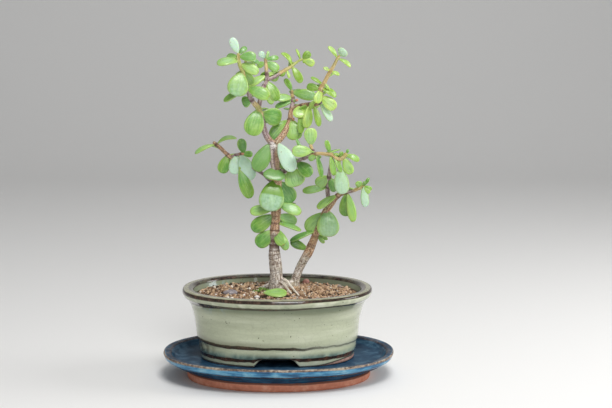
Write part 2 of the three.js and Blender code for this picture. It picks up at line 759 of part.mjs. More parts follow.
const leftMiddle = {
  stems: [
    [
      [-1, 156, 0, 1.6],
      [-7.5, 159.3, 5.5, 1.5],
      [-10.9, 162.7, 9, 1.4],
      [-14.9, 165.5, 12, 1.4],
      [-18.4, 167.6, 13.5, 1.4],
      [-24, 170, 16, 1.4],
      [-30, 173, 17.5, 1.5],
      [-35, 175.4, 20, 1.7],
      [-38.4, 177.4, 21, 1.8],
      [-41.6, 180.3, 22, 1.6],
      [-45, 183.7, 23.5, 1.6],
      [-48.4, 186.6, 24, 1.5],
      [-51.6, 189.2, 25, 1.3],
    ],
    [
      [-37, 177, 20.5, 1.3],
      [-33, 179, 19, 1.2],
      [-27.6, 179.9, 17.5, 1.15],
    ],
    [
      [-30, 173, 17.5, 1.1],
      [-30.6, 167, 13, 1],
    ],
    [
      [-41, 179.8, 22, 1.3],
      [-41.9, 180.5, 16, 1.2],
    ],
  ],
  leaves: [
    [-49.6, 186.8, -66, 179.8, 1, 5.2, 50, 1.9],
    [-48.6, 187.2, -32.8, 192, -1, 5.2, 50, 3.8],
    [-26.6, 179.2, -29.6, 191.8, 5, 7.8],
    [-40.4, 178.4, -44.9, 164.2, 1, 10],
    [-33.6, 178.6, -34.8, 163.2, 4, 10.4, 0, 1],
    [-29.6, 178.8, -21.8, 158.4, 5, 14, 0, 1.2],
    [-31.2, 168, -22.2, 144.2, 1, 11, 0, 1],
    [-29, 179.6, -20.2, 179.4, -3, 5.6],
  ],
  rear: [{ count: 5, length: 14, width: 10, from: 0.35, to: 0.85, seed: 49 }],
};

const leanRight = {
  stems: [
    [
      [38.4, 134.6, 11.5, 2.6],
      [42.4, 139.8, 9, 2.4],
      [45.5, 144.4, 6.5, 2.2],
      [48.7, 147.2, 4.5, 2],
      [53.8, 148.8, 2, 1.5],
      [58.6, 149.9, -1.5, 1.4],
      [63.1, 151.6, -4.5, 1.3],
      [66, 153, -6.5, 1.2],
      [68.6, 154.4, -9, 1],
    ],
  ],
  leaves: [
    [54.2, 148, 53.6, 129.6, 1, 11.2],
    [55, 148.6, 59.8, 125, 4, 8, 20, 1],
    [46.4, 147.6, 30.8, 136, 5, 7.2, 30, 1],
    [64.4, 152.2, 63.8, 158, 3, 6],
    [68.2, 154, 72.2, 160.6, 0, 3],
    [68.4, 154, 74.4, 151.2, 1, 3.4],
    [68.4, 153.6, 72.6, 148, 2, 3.8],
    [67.8, 153.8, 69.4, 137, 3, 6.8, 0, 0.8],
    [68, 154, 68.2, 157.8, 2, 2.4],
  ],
  rear: [{ count: 4, length: 14, width: 9.5, from: 0.45, to: 0.85, seed: 179 }],
};

const leanUp = {
  stems: [
    [
      [40.4, 138, 10, 1.8],
      [39.6, 145, 9.5, 1.7],
      [39.2, 150, 9, 1.8],
      [39.5, 154, 8, 1.9],
      [40, 158.1, 6.5, 1.9],
      [40.4, 162, 5.5, 1.7],
      [40.9, 167, 3.5, 1.4],
      [41.4, 171.6, 2, 1],
    ],
  ],
  leaves: [
    [39, 153, 19.2, 149.8, 2, 6.8, 15, 0.8],
    [39.6, 162, 30.2, 154.2, -2, 9.8],
    [40.8, 161, 44.6, 149.2, 2, 6.2],
  ],
  rear: [{ count: 4, length: 14, width: 10, from: 0.3, to: 0.95, seed: 104 }],
};

// The fallen leaf.
// It lies on the soil in front of the trunk, its far edge raised on the grit.
function fallenLeaf() {
  const root = new THREE.Vector3(-12, -21.5, 71.9);
  const tip = new THREE.Vector3(7, -22.5, 71.7);
  const face = new THREE.Vector3(0, -0.42, 0.906);
  return leafSolid(root, tip, face, 12, 0.3);
}

// Assembly.
const leafColour = 0x7cab5c;
const youngLeafColour = 0x9cc25e;

const wood = {
  trunk: woodSolid(trunk),
  crownLeft: woodSolid(crownLeft),
  crownMiddle: woodSolid(crownMiddle),
  crownRight: woodSolid(crownRight),
  leanRight: woodSolid(leanRight),
};

const sprays = [
  ["leaf_branch_crown_left", crownLeft, [wood.trunk], leafColour],
  ["leaf_branch_crown_middle", crownMiddle, [wood.crownLeft], leafColour],
  ["leaf_branch_crown_twig", crownTwig, [wood.crownMiddle], youngLeafColour],
  ["leaf_branch_crown_right", crownRight, [wood.trunk, wood.crownLeft], leafColour],
  ["leaf_branch_right_high", rightHigh, [wood.crownRight], youngLeafColour],
  ["leaf_branch_right_middle", rightMiddle, [wood.trunk], leafColour],
  ["leaf_branch_left_middle", leftMiddle, [wood.trunk], leafColour],
  ["leaf_branch_lean_right", leanRight, [wood.trunk], leafColour],
  ["leaf_branch_lean_up", leanUp, [wood.trunk, wood.leanRight], leafColour],
];

const plant = new THREE.Group();
plant.add(meshFrom(dripTray(), "drip_tray", 0x2c5c80, 0.25));
plant.add(meshFrom(pot(), "pot", 0xa9af98, 0.3));
plant.add(meshFrom(drainScreen(-1), "drain_screen_left", 0x1f2421, 0.6));
plant.add(meshFrom(drainScreen(1), "drain_screen_right", 0x1f2421, 0.6));

let soil = soilBed().subtract(woodSolid(trunk));
for (const side of [-1, 1]) {
  const room = screenSize + 2 * clearance;
  const height = screenThickness + 2 * clearance;
  const x = potCentreX + side * drainHoleX;
  soil = soil.subtract(boxSolid(room, room, 2 * height, x, 0, potFloorZ + clearance));
}
for (const stone of Object.values(stones)) {
  soil = soil.subtract(stoneSolid(stone, clearance));
}
plant.add(meshFrom(soil, "soil_bed", 0xa5805f, 0.95));
for (const [name, stone] of Object.entries(stones)) {
  plant.add(meshFrom(stoneSolid(stone, 0), name, stone.colour, 0.8));
}

plant.add(meshFrom(plantSolid(trunk), "trunk", 0x96826c, 0.85));
for (const [name, spray, carriers, colour] of sprays) {
  const whole = plantSolid(spray);
  const cut = carriers.reduce((left, carrier) => left.subtract(carrier), whole);
  plant.add(meshFrom(cut, name, colour, 0.55));
}
plant.add(meshFrom(fallenLeaf(), "fallen_leaf", 0x6fae58, 0.5));

export default plant;
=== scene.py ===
# A dwarf jade grown as a bonsai, in an oval glazed pot on an oval glazed drip tray.
import math
import random

import bmesh
import bpy
from mathutils import Matrix, Vector, noise
from mathutils.kdtree import KDTree


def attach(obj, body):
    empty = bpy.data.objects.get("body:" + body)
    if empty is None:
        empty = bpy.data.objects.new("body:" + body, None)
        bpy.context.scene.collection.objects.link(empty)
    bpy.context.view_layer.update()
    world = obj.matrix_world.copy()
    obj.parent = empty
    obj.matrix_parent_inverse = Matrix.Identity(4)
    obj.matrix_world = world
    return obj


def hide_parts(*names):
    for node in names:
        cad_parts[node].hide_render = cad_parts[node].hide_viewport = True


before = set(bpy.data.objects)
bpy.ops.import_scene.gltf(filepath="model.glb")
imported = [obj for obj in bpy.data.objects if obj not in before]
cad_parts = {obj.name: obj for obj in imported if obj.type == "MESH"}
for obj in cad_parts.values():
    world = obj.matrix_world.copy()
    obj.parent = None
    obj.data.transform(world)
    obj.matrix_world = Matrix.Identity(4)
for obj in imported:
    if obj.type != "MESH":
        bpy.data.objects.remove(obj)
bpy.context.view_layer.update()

# Shapes are made in millimetres and brought to metres when a piece is finished.
mm = 0.001


# Shader maths: a wrapped socket takes plain arithmetic.
class Signal:
    def __init__(self, paint, socket):
        self.paint = paint
        self.socket = socket

    def __add__(self, other):
        return self.paint.maths("ADD", self, other)

    def __sub__(self, other):
        return self.paint.maths("SUBTRACT", self, other)

    def __rsub__(self, other):
        return self.paint.maths("SUBTRACT", other, self)

    def __mul__(self, other):
        return self.paint.maths("MULTIPLY", self, other)

    def __truediv__(self, other):
        return self.paint.maths("DIVIDE", self, other)

    def __rtruediv__(self, other):
        return self.paint.maths("DIVIDE", other, self)

    def __abs__(self):
        return self.paint.maths("ABSOLUTE", self)

    __radd__ = __add__
    __rmul__ = __mul__

    # 0 below low, 1 above high, and a soft rise between them
    def step(self, low, high):
        settings = {"interpolation_type": "SMOOTHSTEP"}
        made = self.paint.node("ShaderNodeMapRange", settings, {0: self, 1: low, 2: high, 3: 0.0, 4: 1.0})
        return Signal(self.paint, made.outputs[0])

    # 1 between low and high, with soft sides
    def band(self, low, high, soft):
        return self.step(low - soft, low + soft) * (1 - self.step(high - soft, high + soft))


# One material: a Principled shader and what feeds it.
class Paint:
    def __init__(self, name, constants):
        self.material = bpy.data.materials.new(name)
        self.material.use_nodes = True
        self.tree = self.material.node_tree
        self.shader = self.tree.nodes["Principled BSDF"]
        self.colour = None
        for socketName, value in constants.items():
            self.shader.inputs[socketName].default_value = value

    def node(self, kind, settings=None, inputs=None):
        made = self.tree.nodes.new(kind)
        for name, value in (settings or {}).items():
            if name == "stops":
                self.fillRamp(made.color_ramp, value)
            else:
                setattr(made, name, value)
        for name, value in (inputs or {}).items():
            if isinstance(value, Signal):
                self.tree.links.new(value.socket, made.inputs[name])
            else:
                made.inputs[name].default_value = value
        return made

    def fillRamp(self, ramp, stops):
        while len(ramp.elements) < len(stops):
            ramp.elements.new(0.5)
        for element, (place, colour) in zip(ramp.elements, sorted(stops)):
            element.position = place
            element.color = colour

    def maths(self, operation, *values):
        made = self.node("ShaderNodeMath", {"operation": operation}, dict(enumerate(values)))
        return Signal(self, made.outputs[0])

    def spot(self):
        return Signal(self, self.node("ShaderNodeTexCoord").outputs["Object"])

    def attribute(self, name):
        made = self.node("ShaderNodeAttribute", {"attribute_name": name})
        return Signal(self, made.outputs["Vector"])

    def amount(self, name):
        made = self.node("ShaderNodeAttribute", {"attribute_name": name})
        return Signal(self, made.outputs["Fac"])

    def parts(self, vector):
        made = self.node("ShaderNodeSeparateXYZ", None, {0: vector})
        return [Signal(self, socket) for socket in made.outputs]

    def stretched(self, vector, scale):
        made = self.node("ShaderNodeVectorMath", {"operation": "MULTIPLY"}, {0: vector, 1: scale})
        return Signal(self, made.outputs[0])

    def distance(self, vector, place):
        made = self.node("ShaderNodeVectorMath", {"operation": "DISTANCE"}, {0: vector, 1: place})
        return Signal(self, made.outputs["Value"])

    def noise(self, vector, scale, detail=2.0, distortion=0.0):
        inputs = {"Vector": vector, "Scale": scale, "Detail": detail, "Distortion": distortion}
        return Signal(self, self.node("ShaderNodeTexNoise", None, inputs).outputs["Fac"])

    # How far it is to the edge of a cell, or with the feature F1 to its middle
    def cells(self, vector, scale, feature="DISTANCE_TO_EDGE"):
        inputs = {"Vector": vector, "Scale": scale}
        made = self.node("ShaderNodeTexVoronoi", {"feature": feature}, inputs)
        return Signal(self, made.outputs["Distance"])

    def ramp(self, value, stops):
        settings = {"stops": [(place, tint(code)) for place, code in stops]}
        return Signal(self, self.node("ShaderNodeValToRGB", settings, {0: value}).outputs[0])

    def blend(self, amount, first, second, mode="MIX"):
        settings = {"data_type": "RGBA", "blend_type": mode}
        colours = {6: first, 7: second}
        for number, colour in colours.items():
            if isinstance(colour, str):
                colours[number] = tint(colour)
        return Signal(self, self.node("ShaderNodeMix", settings, {0: amount, **colours}).outputs[2])

    # Lays a colour over what is there so far
    def lay(self, amount, colour, mode="MIX"):
        self.colour = self.blend(amount, self.colour, colour, mode)

    # Feeds the shader with the colour and, where they vary, the roughness and the coat
    def feed(self, **others):
        self.tree.links.new(self.colour.socket, self.shader.inputs["Base Color"])
        names = {"roughness": "Roughness", "coat": "Coat Weight"}
        for name, signal in others.items():
            self.tree.links.new(signal.socket, self.shader.inputs[names[name]])

    # Relief, as a height in millimetres
    def relief(self, height):
        inputs = {"Height": height, "Strength": 1.0, "Distance": mm}
        made = self.node("ShaderNodeBump", None, inputs)
        self.tree.links.new(made.outputs[0], self.shader.inputs["Normal"])


# A linear colour from a web code
def tint(code):
    channels = [int(code[i:i + 2], 16) / 255 for i in (0, 2, 4)]
    linear = [c / 12.92 if c <= 0.04045 else ((c + 0.055) / 1.055) ** 2.4 for c in channels]
    return (*linear, 1.0)


# Makes a shape that was drawn in a unit an object of the scene
def makeObject(bm, name, unit):
    bmesh.ops.transform(bm, matrix=Matrix.Scale(unit, 4), verts=bm.verts)
    mesh = bpy.data.meshes.new(name)
    bm.to_mesh(mesh)
    bm.free()
    made = bpy.data.objects.new(name, mesh)
    bpy.context.scene.collection.objects.link(made)
    return made


# Finishes a piece, and hides the imported part of the node that it stands for, if there is one
def finish(bm, name, material, node=None):
    piece = makeObject(bm, name, mm)
    piece.data.shade_smooth()
    piece.data.materials.append(material)
    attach(piece, "root")
    if node:
        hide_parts(node)
    return piece


# Bakes a piece's modifiers into its mesh
def settle(piece):
    graph = bpy.context.evaluated_depsgraph_get()
    baked = bpy.data.meshes.new_from_object(piece.evaluated_get(graph))
    piece.modifiers.clear()
    piece.data = baked


# Adds a batch of shapes to a larger one
def gather(bm, batch):
    mesh = bpy.data.meshes.new("batch")
    batch.to_mesh(mesh)
    batch.free()
    bm.from_mesh(mesh)
    bpy.data.meshes.remove(mesh)


# A layer of vectors on a shape's points, which is made if it isn't there yet
def vectorLayer(bm, name):
    layers = bm.verts.layers.float_vector
    return layers.get(name) or layers.new(name)


# Closes the seams of what was swept or spun, and turns its faces outwards
def mend(bm):
    bmesh.ops.remove_doubles(bm, verts=bm.verts, dist=1e-4)
    bmesh.ops.recalc_face_normals(bm, faces=bm.faces)


# A repeatable draw between 0 and 1, for the far side's leaves
def draw(seed):
    wave = math.sin(seed * 127.1 + 11.7) * 43758.5453
    return wave - math.floor(wave)


# A profile of rings, each (half width, half depth, height) and, where it isn't the common one, its
# squareness. It is made finer and softened at its corners, and comes with how far along the section
# each of its points was before. Only the rings from firstFine to lastFine show, so the others stay
# as they are.
def fineProfile(rings, style):
    corners = [Vector((*ring, style["squareness"])[:4]) for ring in rings]
    reached = runLengths(corners)
    points = [corners[0]]
    runs = [0.0]
    stays = [True]
    for i in range(1, len(corners)):
        shows = style["firstFine"] < i <= style["lastFine"]
        span = (corners[i] - corners[i - 1]).length
        steps = max(1, round(span / style["spacing"])) if shows else 1
        for k in range(1, steps + 1):
            points.append(corners[i - 1].lerp(corners[i], k / steps))
            runs.append(reached[i - 1] + (reached[i] - reached[i - 1]) * k / steps)
            stays.append(not shows)
    for turn in range(style["softening"]):
        softer = list(points)
        for i in range(1, len(points) - 1):
            if not stays[i] and not stays[i + 1]:
                softer[i] = points[i] / 2 + (points[i - 1] + points[i + 1]) / 4
        points = softer
    return points, runs


# How far along a section each of its points is, seen from its long side
def runLengths(places):
    points = [Vector(place) for place in places]
    runs = [0.0]
    for before, after in zip(points, points[1:]):
        runs.append(runs[-1] + math.hypot(after.x - before.x, after.z - before.z))
    return runs


# Spins a profile and draws it out to an oval. Squareness 2 is an ellipse, more is fuller.
def spinOval(rings, style, centreX):
    points, runs = fineProfile(rings, style)
    bm = bmesh.new()
    depthLayer = bm.verts.layers.float.new("ringDepth")
    squareLayer = bm.verts.layers.float.new("ringSquareness")
    runLayer = bm.verts.layers.float.new("profile")
    line = []
    for point, run in zip(points, runs):
        vert = bm.verts.new((point.x, 0, point.z))
        vert[depthLayer] = point.y
        vert[squareLayer] = point.w
        vert[runLayer] = run
        line.append(vert)
    edges = [bm.edges.new(pair) for pair in zip(line, line[1:])]
    bmesh.ops.spin(
        bm, geom=line + edges, cent=(0, 0, 0), axis=(0, 0, 1), dvec=(0, 0, 0),
        angle=2 * math.pi, steps=style["segments"], use_merge=True, use_duplicate=False,
    )
    bmesh.ops.remove_doubles(bm, verts=bm.verts, dist=1e-4)
    for vert in bm.verts:
        radius = math.hypot(vert.co.x, vert.co.y)
        if radius > 1e-4:
            across = vert.co.x / radius
            deep = vert.co.y / radius
            power = 2 / vert[squareLayer]
            wide = math.copysign(abs(across) ** power, across) * radius
            vert.co.y = math.copysign(abs(deep) ** power, deep) * vert[depthLayer]
            vert.co.x = wide
        vert.co.x += centreX
    bmesh.ops.recalc_face_normals(bm, faces=bm.faces)
    return bm


# Moves vertices in and out by a soft noise, where isFree says so
def ripple(bm, height, size, seed, isFree):
    bm.normal_update()
    shift = Vector((seed * 17.3, seed * 5.1, seed * 9.7))
    for vert in bm.verts:
        if isFree(vert.co):
            vert.co += vert.normal * height * (noise.noise(vert.co / size + shift) - 0.5)


# The tray
trayRings = [
    (0, 0, 11), (64, 47, 11), (67, 50, 10), (68.2, 51, 0), (73, 55.8, 0, 2.07),
    (73.8, 56.6, 1, 2.07), (74, 56.8, 7, 2.07), (76.2, 58.5, 8, 2.07), (83.2, 64.2, 11.8, 2.22),
    (90.2, 69.4, 15.8, 2.22), (91.4, 70.3, 16.7, 2.22), (92.8, 71.4, 20.3, 2.22),
    (92, 70.8, 21.2, 2.22), (86.8, 66, 21), (86, 65.2, 20.2), (83.4, 62.8, 17.2),
    (81, 60.6, 16.1), (60, 42, 16.1), (0, 0, 16.1),
]
tray = {
    "squareness": 2.3, "segments": 360, "spacing": 0.8, "softening": 2,
    "unevenness": 0.25, "waveLength": 26, "firstFine": 1, "lastFine": 16,
}


def buildTray():
    bm = spinOval(trayRings, tray, 0)
    # the face it stands on, the lip's edge and the dish's floor stay even
    floorZ = trayRings[-1][2]
    ripple(bm, tray["unevenness"], tray["waveLength"], 1,
           lambda co: 0.4 < co.z < 20.4 and abs(co.z - floorZ) > 0.3)
    finish(bm, "glazedTray", trayPaint(), "drip_tray")


def trayPaint():
    paint = Paint("trayGlaze", {"IOR": 1.5, "Specular IOR Level": 0.0, "Coat Roughness": 0.06})
    edges = runLengths(trayRings)
    spot = paint.spot()
    broad = paint.noise(spot, 22, 3)
    speckle = paint.noise(spot, 420, 3)
    mottle = paint.noise(spot, 95, 4, 0.6)
    drawn = paint.noise(paint.stretched(spot, (0.25, 0.25, 2.4)), 230, 4, 0.4)
    run = paint.amount("profile") + (broad - 0.5) * 2.0 + (mottle - 0.5) * 1.0
    mixed = mottle * 0.45 + drawn * 0.55
    clay = paint.ramp(speckle * 0.35 + mottle * 0.65, [(0.32, "c98268"), (0.5, "d99076"), (0.68, "e9ae93")])
    taper = paint.ramp(mixed, [(0.36, "0b2439"), (0.52, "14415c"), (0.68, "2b6484")])
    face = paint.ramp(mixed, [(0.34, "1c4a6e"), (0.46, "3579a3"), (0.56, "5f9fbf"), (0.68, "94bfcd")])
    dish = paint.ramp(mixed, [(0.34, "1a3249"), (0.5, "2e4d66"), (0.66, "52748c")])
    flecked = speckle * 0.5 + drawn * 0.5
    brown = paint.ramp(flecked, [(0.36, "3b2e28"), (0.48, "75604f"), (0.6, "b3a189")])
    umber = paint.ramp(flecked, [(0.38, "2b221f"), (0.5, "4f3f39"), (0.64, "7c6656")])
    # terracotta foot, dark taper, bright face
    glazed = run.step(edges[6] - 0.1, edges[6] + 0.9)
    paint.colour = paint.blend(glazed, clay, taper)
    paint.lay(run.band(edges[6] - 1.5, edges[6] + 0.5, 0.5) * 0.85, "553a33")
    paint.lay(run.step(edges[8] + 4.6, edges[8] + 6.2), face)
    creep = run.band(edges[8] + 3.1, edges[8] + 5.4, 0.6)
    paint.lay(creep * (0.55 + broad.step(0.35, 0.55) * 0.4), umber)
    paint.lay(run.band(edges[11] - 0.9, edges[12] + 0.8, 0.45) * 0.95, brown)
    paint.lay(run.step(edges[12] + 0.6, edges[12] + 1.8), dish)
    paint.lay(run.band(edges[13] - 0.8, edges[14] + 0.4, 0.5) * 0.6, umber)
    worn = run.band(edges[12] + 0.7, edges[13] - 0.2, 0.6) * mottle.step(0.38, 0.6)
    paint.lay(worn * 0.5, umber)
    pinholes = paint.noise(spot, 900, 1).step(0.7, 0.75)
    paint.lay(pinholes * glazed * 0.5, "0a1722")
    lip = run.step(edges[8] + 4, edges[9])
    upper = run.step(edges[12] + 0.2, edges[12] + 1.4)
    inside = run.step(edges[14], edges[16])
    rough = 0.85 - glazed * (0.35 + lip * 0.33) + mottle * 0.06
    coat = glazed * (0.18 + lip * 0.67 - upper * 0.55 - inside * 0.1)
    paint.feed(roughness=rough, coat=coat)
    grit = paint.noise(spot, 1400, 2)
    height = (1 - glazed) * grit * 0.1 + glazed * (broad * 0.8 + mottle * 0.14)
    paint.relief(height - pinholes * glazed * 0.04)
    return paint.material


# The pot
potRings = [
    (0, 0, 22.6), (53, 36, 22.6), (54.5, 37.4, 16.4), (60.9, 43.4, 16.4), (61.6, 43.9, 18),
    (62.4, 44.3, 22.9), (63.2, 44.9, 24), (63.4, 45, 30.8), (64.5, 45.8, 32), (65.2, 46.4, 36),
    (65.6, 46.8, 42), (66.4, 47.6, 49), (67.9, 49.6, 55), (69.5, 52, 60.4), (71.8, 55.2, 64.2),
    (74.6, 58.4, 66.4), (76.2, 60, 69.6), (75.6, 59.2, 72.2), (74, 57.4, 72.9), (69, 52.2, 72.9),
    (67, 50, 71.8), (64.4, 48, 64), (61.6, 44, 54), (60, 41.6, 40), (57.6, 39.4, 30), (54, 36, 27.2),
    (0, 0, 27.2),
]
pot = {
    "centreX": -1, "squareness": 2.2, "segments": 360, "spacing": 0.8, "softening": 2,
    "unevenness": 0.22, "waveLength": 24, "firstFine": 1, "lastFine": 22,
    "gapHalfWidth": 18, "gapShoulder": 14, "gapTopHalfWidth": 11.5, "gapDrop": 1.6,
    "holeX": 27, "holeRadius": 6, "holeZ": 25, "drillDepth": 12,
}


# How high the gap between the feet reaches at x from the pot's centre
def gapHeight(x):
    footZ = potRings[2][2]
    recessZ = potRings[0][2]
    shoulder, drop, topHalf = pot["gapShoulder"], pot["gapDrop"], pot["gapTopHalfWidth"]
    if abs(x) < topHalf:
        return recessZ
    if abs(x) < shoulder:
        return recessZ - drop * (abs(x) - topHalf) / (shoulder - topHalf)
    share = (abs(x) - shoulder) / (pot["gapHalfWidth"] - shoulder)
    return max(footZ, recessZ - drop - (recessZ - drop - footZ) * share)


def buildPot():
    bm = spinOval(potRings, pot, pot["centreX"])
    runLayer = bm.verts.layers.float["profile"]
    edges = runLengths(potRings)
    footZ = potRings[2][2]
    lineZ = potRings[6][2]
    for vert in bm.verts:
        top = gapHeight(vert.co.x - pot["centreX"])
        if vert.co.z > lineZ or top <= footZ:
            continue
        if vert[runLayer] < edges[3] - 0.5:
            vert.co.z = max(vert.co.z, top)
        else:
            vert.co.z = top + (vert.co.z - footZ) * (lineZ - top) / (lineZ - footZ)
    ripple(bm, pot["unevenness"], pot["waveLength"], 2, lambda co: 24 < co.z < 71 and abs(co.x) > 20)
    piece = finish(bm, "glazedPot", potPaint(), "pot")
    for side in (-1, 1):
        drill = bmesh.new()
        place = Matrix.Translation((pot["centreX"] + side * pot["holeX"], 0, pot["holeZ"]))
        radius = pot["holeRadius"]
        bmesh.ops.create_cone(
            drill, cap_ends=True, segments=48, radius1=radius, radius2=radius,
            depth=pot["drillDepth"], matrix=place,
        )
        bore(piece, drill)


# Cuts a shape out of a piece
def bore(piece, bm):
    cutter = makeObject(bm, "drill", mm)
    cut = piece.modifiers.new("bore", "BOOLEAN")
    cut.operation = "DIFFERENCE"
    cut.solver = "EXACT"
    cut.object = cutter
    settle(piece)
    bpy.data.objects.remove(cutter)


def potPaint():
    paint = Paint("potGlaze", {"Specular IOR Level": 0.2, "Coat Roughness": 0.04})
    edges = runLengths(potRings)
    spot = paint.spot()
    x, z = paint.parts(spot)[::2]
    broad = paint.noise(spot, 14, 2)
    mottle = paint.noise(spot, 110, 4, 0.8)
    speckle = paint.noise(spot, 520, 3)
    streak = paint.noise(paint.stretched(spot, (0.5, 0.5, 3.5)), 50, 3)
    drip = paint.noise(paint.stretched(spot, (1, 1, 0.6)), 120, 4, 0.5)
    run = paint.amount("profile") + (broad - 0.5) * 1.2 + (mottle - 0.5) * 0.6
    rightward = x.step(-0.03, 0.04)
    lower = 1 - x.step(0.005, 0.035)
    leftEnd = 1 - x.step(-0.062, -0.045)
    leftLip = 1 - x.step(-0.058, -0.038)
    wobble = paint.noise(spot, 70, 2)
    body = paint.ramp(streak * 0.6 + broad * 0.4, [(0.3, "b0b699"), (0.5, "c5cbad"), (0.7, "d9ddc4")])
    pale = paint.ramp(mottle, [(0.3, "a9b094"), (0.55, "c4c8ad"), (0.75, "dadcc8")])
    olive = paint.ramp(mottle, [(0.3, "8a8868"), (0.55, "a4a283"), (0.75, "bdbb9c")])
    flecked = speckle * 0.5 + drip * 0.5
    dark = paint.ramp(flecked, [(0.37, "1b120e"), (0.5, "34231c"), (0.63, "5c4336")])
    pool = paint.ramp(drip, [(0.36, "596b66"), (0.47, "779087"), (0.56, "95aa9b"), (0.66, "b1bba4")])
    clay = paint.ramp(speckle, [(0.3, "b98878"), (0.5, "cfa292"), (0.7, "dfb9a8")])
    crackle = 1 - paint.cells(paint.stretched(spot, (1, 1, 1.3)), 190).step(0.0, 0.05)
    fine = 1 - paint.cells(spot, 420).step(0.0, 0.06)
    paint.colour = paint.blend(crackle * 0.13 + fine * 0.06, body, "6f6d55")
    # under the lip, painted shade from the lip's overhang over a duller glaze, with milky blue runs at the
    # left
    shaded = run.step(edges[12] - 0.5, edges[14] + 0.5)
    paint.lay(shaded * 0.75, "757c64")
    milk = x.band(-0.058, -0.04, 0.006) * drip.step(0.45, 0.6)
    paint.lay(shaded * milk * 0.5, "9fb4b8")
    # the foot: a line of bare clay, highest at the right, and the glaze that pools over a dark line
    aboveClay = run - (edges[3] + 0.5 + x.step(0.028, 0.058) * 3.3)
    glazed = aboveClay.step(-0.3, 0.4)
    pooled = run.step(edges[5] - 2, edges[5]) * (1 - run.step(edges[6] + 0.2, edges[6] + 4.6))
    paint.lay(pooled * 0.92, pool)
    strip = run.band(edges[4] + 0.5, edges[5] - 1.8, 0.4)
    paint.lay(strip * 0.6, pale)
    line = edges[5] - 1.4 + rightward * 1.1
    thick = 1.45 + (drip - 0.5) * 2.2
    rust = paint.ramp(flecked, [(0.37, "21120d"), (0.5, "3d231a"), (0.63, "66402f")])
    paint.lay(run.band(line - thick, line + thick, 0.4) * 0.97, rust)
    brink = aboveClay.band(0.0, 0.9, 0.35)
    paint.lay(brink * 0.85, "3a2a24")
    lining = (1 - z.step(0.0232, 0.0246)) * (1 - abs(x + 0.001).step(0.0135, 0.0165))
    paint.lay(lining * 0.85, rust)
    paint.lay(1 - glazed, clay)
    # at the left end the glaze over the foot is stained
    stain = leftEnd * run.band(edges[5], edges[8], 1.2) * mottle.step(0.36, 0.56)
    paint.lay(stain * 0.75, "3d3029")
    # the ridge above the foot, where the glaze breaks brown, widest at the left
    thick = 1.7 - rightward * 0.95 + (broad - 0.5) * 1.4 + (drip - 0.5) * 1.2
    middle = edges[8] - 0.2 - rightward * 0.9 + leftEnd * 1.3 + (broad - 0.5) * 1.2
    middle += (wobble - 0.5) * (1.2 + rightward * 4)
    ridge = run.band(middle - thick, middle + thick, 0.4)
    paint.lay(ridge * (0.97 - x.step(0.005, 0.04) * 0.5), dark)
    # above the ridge at the left, a brown smear in the glaze together with painted shade
    smearAndShade = run.band(middle - 0.5, middle + 5, 1.8) * (1 - rightward)
    paint.lay(smearAndShade * 0.35, "77705a")
    # the lip: a dark line below it, brown glaze deepened by painted shade under the lip's roll, a pale face,
    # a thin dark line along its edge
    face = run.band(edges[15] + 0.3 - lower * 0.8, edges[16] + 1.2, 0.6)
    paint.lay(face * 0.9, pale)
    thick = 1.65 - rightward * 0.6 + leftLip * 1.1 + (drip - 0.5) * 1.4
    line = edges[14] + 2.6 - lower * 1.1 - leftLip * 0.5
    paint.lay(run.band(line - thick, line + thick, 0.5) * 0.94, dark)
    paint.lay(run.band(edges[17] + 0.6, edges[19] - 0.4, 0.5), olive)
    rim = run.band(edges[17] - 1.5 - lower * 1.2, edges[17] + 1.2 - lower * 0.5, 0.4)
    paint.lay(rim * 0.97, dark)
    inner = run.band(edges[19] - 1.9, edges[20] + 1.1, 0.5)
    paint.lay(inner * (0.7 + mottle.step(0.35, 0.6) * 0.3), dark)
    # iron specks, most of them in one cluster on the front's left
    near = 1 - paint.distance(spot, (-0.0385, -0.0402, 0.053)).step(0.0018, 0.003)
    specks = (1 - paint.cells(spot, 620, "F1").step(0.36, 0.5)) * near
    strays = paint.noise(spot, 640, 0).step(0.83, 0.85)
    paint.lay((specks + strays).step(0.2, 0.8) * 0.85, "2c241f")
    paint.feed(roughness=0.82 - glazed * 0.68 + mottle * 0.05, coat=glazed * 0.65)
    grit = paint.noise(spot, 1500, 2)
    paint.relief(glazed * (broad * 0.7 + mottle * 0.1) + (1 - glazed) * grit * 0.12 - strays * 0.05)
    return paint.material


# The plastic drain screens under the soil
screen = {"size": 19, "thickness": 1.2, "threads": 9, "threadRadius": 0.34, "bottomZ": 27.5}


def buildScreens():
    paint = Paint("drainMesh", {"Roughness": 0.55, "IOR": 1.46})
    wear = paint.noise(paint.spot(), 600, 3)
    paint.colour = paint.ramp(wear, [(0.3, "12140f"), (0.7, "2f332a")])
    paint.feed()
    paint.relief(wear * 0.05)
    radius = screen["threadRadius"]
    half = screen["size"] / 2 - radius
    middleZ = screen["bottomZ"] + screen["thickness"] / 2
    flat = Matrix.Rotation(math.radians(90), 4, "Y")
    for side, name, node in (
        (-1, "screenLeft", "drain_screen_left"), (1, "screenRight", "drain_screen_right"),
    ):
        bm = bmesh.new()
        middle = Vector((pot["centreX"] + side * pot["holeX"], 0, middleZ))
        for i in range(screen["threads"]):
            place = half * (2 * i / (screen["threads"] - 1) - 1)
            for turn, offset in ((0, Vector((0, place, 0.2))), (90, Vector((place, 0, -0.2)))):
                matrix = (
                    Matrix.Translation(middle + offset) @ Matrix.Rotation(math.radians(turn), 4, "Z") @ flat
                )
                bmesh.ops.create_cone(
                    bm, cap_ends=True, segments=8, radius1=radius, radius2=radius,
                    depth=screen["size"] - 0.4, matrix=matrix,
                )
        finish(bm, name, paint.material, node)


